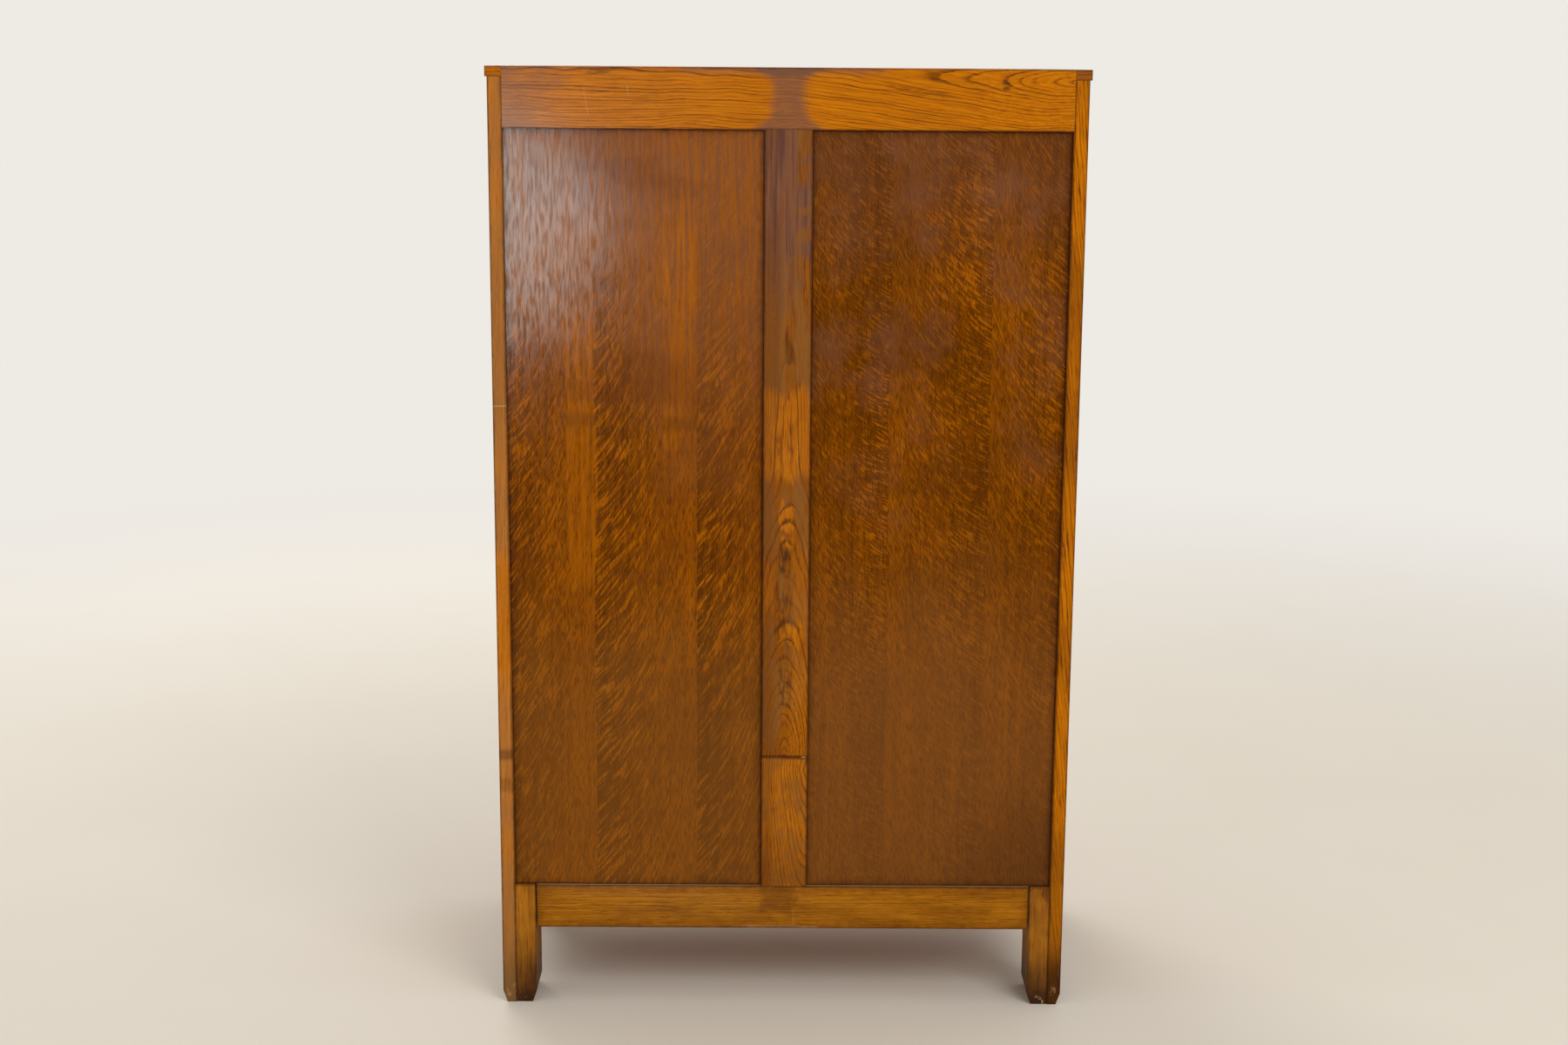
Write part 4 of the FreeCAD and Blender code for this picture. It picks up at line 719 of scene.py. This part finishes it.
def lower_muntin_finish():
    """The short muntin below the joint, with arcs at one edge and a reddish foot."""
    finish = Finish("lower_muntin_oak", coat=0.03, shine=0.015)
    x, y, z = finish.place
    across = 0.0 - x - 0.036
    depth = 0.012 + (0.350 - z).size() * 0.16
    lay_oak(finish, "frame", (z, across, depth), 0.8, 0.007, 1.05, 0.25)
    tone = finish.cloud(34, 9, 22, 3)
    finish.stain(tone.over(0.38, 0.62) * 0.45 + 0.22, "dull")
    left = (across + 0.036 + (tone - 0.5) * 0.03).over(-0.008, -0.024)
    foot = (z + (tone - 0.5) * 0.16).over(0.270, 0.190)
    finish.stain((left * 0.34 + foot * 0.34).clamped(), "glaze")
    low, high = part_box("back_muntin_lower")
    joint = (z - x * 0.02).over(high.z - 0.0062, high.z - 0.0016)
    finish.stain(joint * 0.80, finish.mix(tone.over(0.35, 0.60), "grime", "glaze"))
    chip = (0.0 - x).within(0.026, 0.030, 0.0015) * z.over(high.z - 0.003, high.z - 0.001)
    finish.stain(chip * 0.9, "bare")
    # Soiling and painted shade along its edges
    finish.soil_edges(low, high, 0.5)
    return finish.paint(varnish(finish))


def bottom_rail_finish():
    """Tan, straight-grained oak with short dark dashes, redder along its edges."""
    finish = Finish("bottom_rail_oak", coat=0.03, shine=0.015)
    x, y, z = finish.place
    lay_oak(finish, "rail", (x, z - 0.02, 0.07 + x * 0.03), 0.8, 0.006, 0.45, 0.22)
    dashes = finish.cloud(60, 500, 620, 2).over(0.55, 0.66)
    finish.stain(dashes * 0.35, "rail_dark")
    finish.stain(finish.cloud(9, 9, 20, 3).over(0.44, 0.66) * 0.35, "glaze")
    side = 0.0 - x
    ragged = finish.cloud(70, 9, 90, 3) - 0.5
    patch = (side + ragged * 0.030).within(-0.026, 0.010, 0.012)
    finish.stain(patch * (z + ragged * 0.060).over(0.124, 0.156) * 0.50, "glaze")
    lip = side.within(-0.045, 0.042, 0.018) * (z + (dashes - 0.5) * 0.002).over(0.1190, 0.1160)
    line = side.within(0.0150, 0.0156, 0.0007) * z.within(0.118, 0.142, 0.005)
    finish.stain((lip * 0.32 + line * 0.16).clamped(), "bare")
    low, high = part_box("back_bottom_rail")
    shown = (-RAIL_END, low.y, low.z), (RAIL_END, high.y, high.z)
    finish.stain(finish.edge(*shown, 0.016, 0.7) * 0.40, "glaze")
    # Soiling and painted shade along the edges that show
    finish.soil_edges(*shown, 0.6)
    # Pale top of the ledge behind the panels: painted highlight where the top face catches the light, with
    # some dusting
    dust_and_highlight = y.over(0.2135, 0.2115) * z.over(high.z - 0.0006, high.z - 0.0002)
    finish.stain(dust_and_highlight * 0.5, "canvas")
    return finish.paint(varnish(finish))


class CABINET_OT_back_panels(bpy.types.Operator):
    """Finish the two veneered panels of the back"""
    bl_idname = "cabinet.back_panels"
    bl_label = "Panels of the Back"

    def execute(self, context):
        dress("back_panel_right", wide_leaf_finish(), "arris")
        dress("back_panel_left", narrow_leaf_finish(), "arris")
        return {"FINISHED"}


def soil_and_shade_panel(finish, left, right):
    """Soiling and painted shade where a panel of the back meets its frame and lies recessed behind it."""
    for reach, raggedness, amount in ((0.0040, 0.4, 0.6), (0.014, 0.8, 0.25)):
        finish.soil_edges((left, 0.0, PANEL_FOOT), (right, 0.0, PANEL_TOP), amount, reach, raggedness)


def wide_leaf_finish():
    """Three leaves with long flecks that rise to the right of someone facing the back."""
    finish = Finish("wide_leaf_veneer", coat=0.05, shine=0.0)
    x, y, z = finish.place
    across = 0.0 - x
    height = z + (finish.cloud(6, 1, 4, 2) - 0.5) * 0.3
    clear = height.over(1.22, 0.86) * 0.60 + 0.45
    lay_veneer(finish, (across, z, y), finish.sizes.left_leaf, 1, (48, 78), 0.405, clear=clear)
    specks = finish.cloud(190, 9, 50, 3, 0.7)
    upper = height.over(0.60, 0.95)
    finish.stain(specks.over(0.50, 0.66) * upper * 0.60, "panel_dark")
    finish.stain(specks.over(0.44, 0.30) * upper * 0.60, "panel_fleck")
    lines = finish.cloud(210, 9, 9, 3)
    upper = height.over(0.76, 1.10)
    finish.stain(lines.over(0.50, 0.66) * upper * 0.36, "panel_dark")
    finish.stain(lines.over(0.46, 0.30) * upper * 0.4, "panel_light")
    cloud = finish.cloud(7, 7, 5, 3)
    top = (z + (cloud - 0.5) * 0.5).over(0.72, 1.18)
    finish.stain(top * (lines.over(0.30, 0.60) * 0.42 + 0.24), "panel_fleck")
    finish.stain(top * (lines.over(0.60, 0.34) * 0.38 + 0.24), "bloom")
    golden = patches(across, height, (
        ((-0.162, -0.130, 0.010), (0.83, 1.04, 0.10), 1.0),
        ((-0.296, -0.264, 0.012), (0.68, 0.92, 0.06), 1.0),
    ))
    finish.stain(golden * (lines.over(0.40, 0.62) * 0.50 + 0.05), "panel_fleck")
    smudges = across.within(-0.296, -0.262, 0.02) + across.within(-0.162, -0.126, 0.02)
    smudges = smudges * (height * 0.2 + z * 0.8).within(0.834, 0.842, 0.012)
    finish.stain(smudges * lines.over(0.20, 0.60) * 0.30, "grime")
    band = finish.cloud(4, 1, 13, 2, shift=5.0)
    finish.stain((cloud.over(0.42, 0.68) * 0.24 + band.over(0.54, 0.66) * 0.26).clamped(), "glaze")
    finish.stain((z + (cloud - 0.5) * 0.4).over(0.66, 0.38) * 0.42, "dull")
    soil_and_shade_panel(finish, 0.0308, 0.381)
    hairs = finish.cloud(260, 9, 40, 3, 0.65)
    coat = hairs.over(0.34, 0.62) * 0.050 + cloud.over(0.36, 0.62) * 0.018 + 0.008
    return finish.paint(varnish(finish, 1.4) - 0.03, coat=coat)


def narrow_leaf_finish():
    """Leaves with finer flecks that fall to the right of someone facing the back."""
    finish = Finish("narrow_leaf_veneer", coat=0.02, shine=0.0)
    x, y, z = finish.place
    across = 0.0 - x
    cloud = finish.cloud(7, 7, 4, 3, shift=3.0)
    clear = (z + (cloud - 0.5) * 0.4).over(0.28, 0.80) * 0.60 + 0.45
    lay_veneer(finish, (across, z, y), finish.sizes.right_leaf, -1, (68, 27), -0.0035, 1.9, clear, 0.18)
    low_part = (z + (cloud - 0.5) * 0.4).over(0.72, 0.38)
    band = finish.cloud(5, 1, 9, 2, shift=1.0)
    finish.stain((1.0 - low_part) * (band.over(0.40, 0.62) * 0.36 + 0.10), "panel_dark")
    haze = finish.cloud(10, 1, 9, 4, 0.6, 7.0)
    top = (z + (cloud - 0.5) * 0.6).over(0.62, 0.90) * haze.over(0.42, 0.68)
    finish.stain(top * 0.34 + z.over(0.98, 1.20) * 0.16, "bloom")
    finish.stain(low_part * 0.48, finish.mix(0.2, "dull", "bloom"))
    corner = (across * 0.5 - z + (cloud - 0.5) * 0.3).over(-0.24, 0.04)
    finish.stain(corner * 0.36, "grime")
    soil_and_shade_panel(finish, -0.381, -0.0332)
    return finish.paint(varnish(finish, 1.4), VENEER_RELIEF)


# Sides, legs, top and front

class CABINET_OT_sides(bpy.types.Operator):
    """Finish the stiles, rails and panels of both sides"""
    bl_idname = "cabinet.sides"
    bl_label = "Sides"

    def execute(self, context):
        for side in ("left", "right"):
            for end in ("rear", "front"):
                node = f"side_{end}_stile_{side}"
                dress(node, stile_finish(node), "outer_arris")
            for level in ("top", "bottom"):
                node = f"side_{level}_rail_{side}"
                dress(node, board_finish(node, "y", "frame", 0.5), "arris")
            node = f"side_panel_{side}"
            dress(node, side_panel_finish(node), "arris")
        return {"FINISHED"}


def stile_finish(node):
    """A side's stile, down to its worn foot."""
    low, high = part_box(node)
    draw = random.Random(node)
    finish = Finish(f"{node}_oak", coat=0.02, shine=0.01)
    x, y, z = finish.place
    tilt, strength, broken = (0.11, 0.75, 0.50) if node.endswith("left") else (0.03, 0.40, 0.25)
    across = y - (low.y + high.y) / 2 + draw.uniform(-0.03, 0.03)
    depth = (x.size() - 0.390) + z * tilt + draw.uniform(0.03, 0.05)
    place = (z + draw.uniform(0, 5), across, depth)
    lay_oak(finish, "frame", place, strength=strength, broken=broken)
    cloud = finish.cloud(8, 8, 5, 3, shift=draw.uniform(0, 9))
    drift = cloud - 0.5
    finish.stain(cloud.over(0.42, 0.66) * 0.45, "glaze")
    finish.stain(z.over(0.30, 0.12) * 0.35, "rail_mid")
    finish.stain((z + drift * 0.16).over(0.15, 0.02) * 0.72, "grime")
    if node == "side_rear_stile_left":
        finish.stain((z + drift * 0.06).over(0.092, 0.030) * 0.55, "grime")
    scuffs = finish.cloud(120, 120, 60, 3).over(0.56, 0.66)
    finish.stain(scuffs * z.over(0.060, 0.010) * 0.5, "bare")
    if node == "side_rear_stile_right":
        rear = y.over(0.2125, 0.2145)
        finish.stain(rear * (cloud.over(0.34, 0.60) * 0.16 + 0.04), "bare")
        band = ((z + drift * 0.03).within(0.368, 0.375, 0.007) * 0.45
                + (z + drift * 0.04).within(0.322, 0.332, 0.010) * 0.30)
        finish.stain(rear * band.clamped(), "grime")
        finish.stain(rear * z.within(0.8645, 0.8655, 0.0008) * 0.6, "bare")
    # Soiling and painted shade along its edges, left off at the top end, where the top board sits
    finish.soil_edges(low, (high.x, high.y, high.z + 0.05), 0.6)
    return finish.paint(varnish(finish))


def side_panel_finish(node):
    """A side's panel, of the same veneer as the back."""
    finish = Finish(f"{node}_veneer", coat=0.04, shine=0.08)
    x, y, z = finish.place
    lean = 1 if node.endswith("left") else -1
    lay_veneer(finish, (y, z, x), SIDE_LEAF, lean, (44, 76), 0.217)
    finish.stain(finish.cloud(7, 7, 5, 3).over(0.42, 0.68) * 0.35, "glaze")
    # Soiling and painted shade where the panel meets its frame
    finish.soil_edges((0.0, -0.132, PANEL_FOOT), (0.0, 0.140, PANEL_TOP), 0.8, 0.0045)
    return finish.paint(varnish(finish, 1.4), VENEER_RELIEF)


class CABINET_OT_legs(bpy.types.Operator):
    """Finish the blocks that stand inside the stiles"""
    bl_idname = "cabinet.legs"
    bl_label = "Leg Blocks"

    def execute(self, context):
        for end in ("rear", "front"):
            for side in ("left", "right"):
                node = f"{end}_leg_block_{side}"
                dress(node, leg_finish(node), "outer_arris")
        return {"FINISHED"}


def leg_finish(node):
    """A leg block, dull and worn at the foot."""
    low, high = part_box(node)
    draw = random.Random(node)
    finish = Finish(f"{node}_oak", coat=0.04, shine=0.08)
    x, y, z = finish.place
    depth = y - (low.y + high.y) / 2 + 0.11 + z * 0.02
    place = (z + draw.uniform(0, 5), x.size() - 0.366, depth)
    lay_oak(finish, "rail", place, 0.8, 0.006, 0.8)
    cloud = finish.cloud(16, 16, 12, 3, shift=draw.uniform(0, 9))
    finish.stain(cloud.over(0.40, 0.62) * 0.5, "glaze")
    finish.stain((z + (cloud - 0.5) * 0.14).over(0.110, 0.004) * 0.82, "grime")
    finish.stain((z + (cloud - 0.5) * 0.02).over(0.026, 0.012) * 0.40, "grime")
    # Soiling and painted shade along its edges
    finish.soil_edges(low, high, 0.5)
    chips = finish.cloud(170, 170, 110, 3).over(0.58, 0.68)
    finish.stain(chips * z.over(0.020, 0.003) * 0.6, "bare")
    return finish.paint(varnish(finish) + 0.34)


class CABINET_OT_top(bpy.types.Operator):
    """Finish the top board"""
    bl_idname = "cabinet.top"
    bl_label = "Top"

    def execute(self, context):
        dress("top_board", top_finish(), "arris")
        return {"FINISHED"}


def top_finish():
    """The top: glued of a few boards, with worn, dark edges."""
    low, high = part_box("top_board")
    finish = Finish("top_board_oak", coat=0.04, shine=0.08)
    x, y, z = finish.place
    width = (high.y - low.y) / TOP_BOARDS
    board = ((y - low.y) * (1 / width)).math("FLOOR")
    luck = finish.chance(board + 0.5)
    across = y - low.y - (board + 0.5) * width + (luck - 0.5) * 0.05
    depth = x * 0.05 + luck * 0.04 + 0.05 + z - high.z
    lay_oak(finish, "frame", (x + luck * 7, across, depth), 1.0, 0.009, 0.6)
    cloud = finish.cloud(5, 5, 5, 3)
    finish.stain(cloud.over(0.40, 0.64) * 0.5 + luck * 0.15, "glaze")
    # Soiling and painted shade along its edges
    finish.soil_edges(low, high, 0.5, 0.0025, 0.6)
    return finish.paint(varnish(finish))


class CABINET_OT_front_frame(bpy.types.Operator):
    """Finish the lintel and the bottom rail of the front"""
    bl_idname = "cabinet.front_frame"
    bl_label = "Frame of the Front"

    def execute(self, context):
        for node in ("front_lintel", "front_bottom_rail"):
            dress(node, board_finish(node, "x", "frame", 0.6), "arris")
        return {"FINISHED"}


# The shutter

class CABINET_OT_shutter(bpy.types.Operator):
    """Finish the slats and the canvas of the tambour"""
    bl_idname = "cabinet.shutter"
    bl_label = "Tambour"

    def execute(self, context):
        slats = dress("tambour_slats", slat_finish(), smooth=35)
        gather(slats)
        canvas = dress("tambour_canvas", canvas_finish())
        gather(canvas)
        dress("canvas_batten", board_finish("canvas_batten", "x", "plain", dull=1.0), "inner_arris")
        return {"FINISHED"}


def gather(piece):
    """Gives the piece a mesh of its own, and leaves its shape as it is.

    The curtain goes in under the top as the shutter rises, so what is outside gets shorter: the lead
    rail carries its foot up, and its crown comes down to just above the start of the bend, where the
    top tracks leave room for it. The share that stays outside is worked out here, but not used.
    """
    slide = next(joint for joint in frame["joints"] if joint["name"] == "shutter_slide")
    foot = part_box("lead_rail")[1].z
    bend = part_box("top_track_left")[0].z + CROWN_PLAY
    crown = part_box("tambour_slats")[1].z
    rise = slide["range_m"][1]
    (bend - foot - rise) / (crown - foot)
    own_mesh(piece)


def slat_finish():
    """Satin oak slats, each cut from wood of its own."""
    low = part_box("tambour_slats")[0]
    finish = Finish("tambour_oak", coat=0.04, shine=0.08)
    x, y, z = finish.place
    count = (z - low.z) * (1 / SLAT_PITCH)
    number = count.math("FLOOR")
    luck = finish.chance(number + 0.5)
    other = finish.chance(number + 90.5)
    across = z - (number + 0.5) * SLAT_PITCH - low.z + (luck - 0.5) * 0.06
    depth = y * 0.5 + 0.12 + other * 0.06 + x * 0.02
    lay_oak(finish, "tambour", (x + luck * 9, across, depth), 0.7, 0.005, 0.8)
    finish.stain(luck * 0.45, "glaze")
    finish.stain(other.over(0.6, 1.0) * 0.3, "tambour_light")
    # Darker at the seams between slats: painted shade in the grooves, with some soiling
    seam = count.math("FRACT")
    seam_shade_and_soil = seam.over(0.10, 0.0) + seam.over(0.90, 1.0)
    finish.stain(seam_shade_and_soil.clamped() * 0.65, "grime")
    return finish.paint(varnish(finish) + 0.05, SLAT_RELIEF)


def canvas_finish():
    """Plain woven linen, stained by glue."""
    finish = Finish("linen_canvas", roughness=0.9)
    x, y, z = finish.place
    turns = 2 * math.pi / finish.sizes.thread
    finish.relief = (x * turns).math("SINE") * (z * turns).math("SINE") * 0.5 + 0.5
    slub = finish.cloud(900, 9, 40, 2)
    glue = finish.cloud(12, 12, 30, 3).over(0.50, 0.66)
    weave = (finish.relief * 0.7 + slub * 0.4).clamped()
    finish.base = finish.ramp(weave, (0.0, "canvas_gap"), (1.0, "canvas"))
    finish.stain(glue * 0.45, "canvas_gap")
    return finish.paint(0.82 + glue * 0.1, CANVAS_RELIEF)


class CABINET_OT_lead_rail(bpy.types.Operator):
    """Finish the lead rail, its knobs and their screws"""
    bl_idname = "cabinet.lead_rail"
    bl_label = "Lead Rail and Knobs"

    def execute(self, context):
        dress("lead_rail", board_finish("lead_rail", "x", "tambour", 0.5), "arris")
        for node in ("knob_left", "knob_right"):
            dress(node, board_finish(node, "y", "tambour", ring=0.5), smooth=40)
        wear_finish("knob_screws", metal_finish("knob_screw_steel", "steel", "rust"))
        return {"FINISHED"}


def metal_finish(name, bright, dull, roughness=0.32):
    """Worn metal: bright on what is touched, with a dull film in patches and fine scratches."""
    finish = Finish(name, metallic=1.0)
    film = finish.cloud(220, 220, 220, 4, 0.6).over(0.44, 0.70)
    finish.relief = finish.cloud(300, 2500, 2500, 2)
    finish.base = finish.mix(film * 0.55, bright, dull)
    gloss = roughness + film * 0.25 + (finish.relief - 0.5) * 0.2
    return finish.paint(gloss, METAL_RELIEF)


class CABINET_OT_lock(bpy.types.Operator):
    """Finish the lock, its key and its strike plate"""
    bl_idname = "cabinet.lock"
    bl_label = "Lock"

    def execute(self, context):
        steel = metal_finish("lock_steel", "steel", "rust")
        for node in ("lock_case", "lock_screws", "lock_bolt", "strike_plate", "strike_screws"):
            wear_finish(node, steel)
        brass = metal_finish("plate_brass", "brass", "tarnish", 0.28)
        for node in ("escutcheon", "escutcheon_pins", "key"):
            wear_finish(node, brass)
        return {"FINISHED"}


# The inside

class CABINET_OT_interior(bpy.types.Operator):
    """Finish what the open tambour shows: tracks, shelves, boards and blocks"""
    bl_idname = "cabinet.interior"
    bl_label = "Interior"

    def execute(self, context):
        boards = {
            "bottom_board": ("x", "tambour"), "shelf_lower": ("x", "inner"), "shelf_upper": ("x", "inner"),
            "inner_ceiling": ("x", "plain"), "inner_back": ("z", "plain"),
            "top_fixing_blocks": ("x", "plain"), "bottom_glue_blocks": ("x", "plain"),
        }
        for side in ("left", "right"):
            boards[f"front_track_{side}"] = ("z", "tambour")
            boards[f"rear_track_{side}"] = ("z", "inner")
            boards[f"top_track_{side}"] = ("y", "inner")
        for node, (along, sort) in boards.items():
            material = board_finish(node, along, sort, 0.3, dull=1.0 if sort == "plain" else 0.5)
            dress(node, material, "inner_arris", shape=relieve if node.startswith("top_track") else None)
        dress("shelf_pegs", board_finish("shelf_pegs", "x", "plain", dull=1.0), smooth=40)
        wear_finish("track_screws", metal_finish("track_screw_steel", "steel", "rust"))
        return {"FINISHED"}


def relieve(track):
    """Cuts a shallow step under a top track, behind its groove, where the gathered curtain lies."""
    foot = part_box("top_track_left")[0].z
    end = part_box("tambour_slats")[1].y + STEP_PLAY
    deselect()
    bpy.ops.mesh.primitive_cube_add(size=1, location=(0.0, (GROOVE_BACK + end) / 2, foot),
                                    scale=(GROOVE_SPAN, end - GROOVE_BACK, 2 * STEP_DEPTH))
    cutter = bpy.context.object
    activate(track)
    bpy.ops.object.modifier_add(type="BOOLEAN")
    cut = track.modifiers[-1]
    cut.operation = "DIFFERENCE"
    cut.object = cutter
    bpy.ops.object.modifier_apply(modifier=cut.name)
    activate(cutter)
    bpy.ops.object.delete()


# The stage

class CABINET_OT_stage(bpy.types.Operator):
    """Set the floor, the light of the room and the camera"""
    bl_idname = "cabinet.stage"
    bl_label = "Stage"

    def execute(self, context):
        stage = context.scene.cabinet_stage
        deselect()
        bpy.ops.mesh.primitive_plane_add(size=FLOOR_SIDE)
        floor = context.object
        floor.name = "floor"
        floor.data.materials.append(floor_finish(stage))
        set_room(context.scene, stage)
        set_camera(context.scene, stage)
        soft = (2.2, 1.8)
        add_lamp("key", stage.key_watts, (-1.9, 3.3, 3.0), (0.0, 0.2, 0.7), soft)
        add_lamp("fill", stage.fill_watts, (1.7, -3.4, 2.8), (0.0, -0.2, 0.7), soft)
        window = add_lamp("window", stage.window_watts, (1.16, 4.5, 0.78), (1.16, 0.0, 0.78), (1.20, 0.84))
        window.data.shape = "ELLIPSE"
        window.data.color = (0.80, 0.97, 1.0)
        window.visible_diffuse = False
        mirrors = bpy.data.collections.new("mirrors")
        for piece in context.scene.objects:
            if piece.name.startswith("back_"):
                mirrors.objects.link(piece)
        window.light_linking.receiver_collection = mirrors
        context.scene.view_settings.view_transform = "Standard"
        return {"FINISHED"}


def floor_finish(stage):
    """A plain floor that keeps the shadow near the cabinet and turns into the backdrop further off."""
    finish = Finish("plain_floor", roughness=0.7, shine=0.08)
    x, y, z = finish.place
    speck = finish.noise(x * 3, y * 3, 0.0, 3).over(0.3, 0.7)
    finish.base = finish.mix(speck * 0.10, stage.floor, stage.floor_speck)
    backdrop = finish.node("ShaderNodeEmission", {}, {"Color": stage.backdrop, "Strength": 1.0})
    far = (x * x + y * y).math("SQRT").over(1.3, 4.2)
    return finish.show(finish.blend(finish.seen() * far, finish.join(), backdrop.outputs[0]))


def set_room(scene, stage):
    """Even daylight, and a pale backdrop where the floor ends."""
    scene.world = bpy.data.worlds.new("room")
    room = Shader(scene.world)
    daylight = {"Color": (1.0, 0.975, 0.94), "Strength": stage.daylight}
    light = room.node("ShaderNodeBackground", {}, daylight)
    wall = room.node("ShaderNodeBackground", {}, {"Color": stage.backdrop, "Strength": 1.0})
    both = room.blend(room.seen(), light.outputs[0], wall.outputs[0])
    room.node("ShaderNodeOutputWorld", {}, {0: both})


def set_camera(scene, stage):
    """The photograph's view of the back: level axes first, then down, aside and clockwise."""
    turned = (Matrix.Rotation(stage.roll, 3, "Z") @ Matrix.Rotation(stage.down, 3, "X")
              @ Matrix.Rotation(stage.aside, 3, "Y"))
    right, down, ahead = (Vector((-row[0], -row[2], -row[1])) for row in turned)
    bpy.ops.object.camera_add(location=stage.stand)
    camera = bpy.context.object
    camera.name = "camera"
    camera.data.lens = stage.lens
    camera.data.sensor_width = SENSOR_WIDTH
    facing = Matrix((right, -down, -ahead)).transposed().to_4x4()
    camera.matrix_world = Matrix.Translation(stage.stand) @ facing
    scene.camera = camera


def add_lamp(name, power, place, target, size):
    """A soft lamp that faces a point."""
    deselect()
    bpy.ops.object.light_add(type="AREA", location=place)
    lamp = bpy.context.object
    lamp.name = f"{name}_lamp"
    lamp.data.shape = "RECTANGLE"
    lamp.data.size, lamp.data.size_y = size
    lamp.data.energy = power
    lamp.rotation_euler = (Vector(target) - Vector(place)).to_track_quat("-Z", "Y").to_euler()
    lamp.visible_camera = False
    return lamp


OPERATORS = (
    CABINET_OT_back_frame,
    CABINET_OT_back_panels,
    CABINET_OT_sides,
    CABINET_OT_legs,
    CABINET_OT_top,
    CABINET_OT_front_frame,
    CABINET_OT_shutter,
    CABINET_OT_lead_rail,
    CABINET_OT_lock,
    CABINET_OT_interior,
    CABINET_OT_stage,
)


class CABINET_PT_sidebar(bpy.types.Panel):
    """The steps that finish the cabinet"""
    bl_idname = "CABINET_PT_sidebar"
    bl_label = "Tambour Cabinet"
    bl_space_type = "VIEW_3D"
    bl_region_type = "UI"
    bl_category = "Cabinet"

    def draw(self, context):
        for step in OPERATORS:
            self.layout.operator(step.bl_idname)
        for name, kind in GROUPS.items():
            box = self.layout.box()
            for setting in kind.__annotations__:
                box.prop(getattr(context.scene, name), setting)


GROUPS = {"cabinet_sizes": CabinetSizes, "cabinet_colours": CabinetColours, "cabinet_stage": CabinetStage}
CLASSES = (*GROUPS.values(), *OPERATORS, CABINET_PT_sidebar)


def register():
    for item in CLASSES:
        bpy.utils.register_class(item)
    for name, kind in GROUPS.items():
        setattr(bpy.types.Scene, name, PointerProperty(type=kind))


def unregister():
    for name in GROUPS:
        delattr(bpy.types.Scene, name)
    for item in reversed(CLASSES):
        bpy.utils.unregister_class(item)


def main():
    register()
    for step in OPERATORS:
        group, name = step.bl_idname.split(".")
        getattr(getattr(bpy.ops, group), name)()


if __name__ == "__main__":
    main()
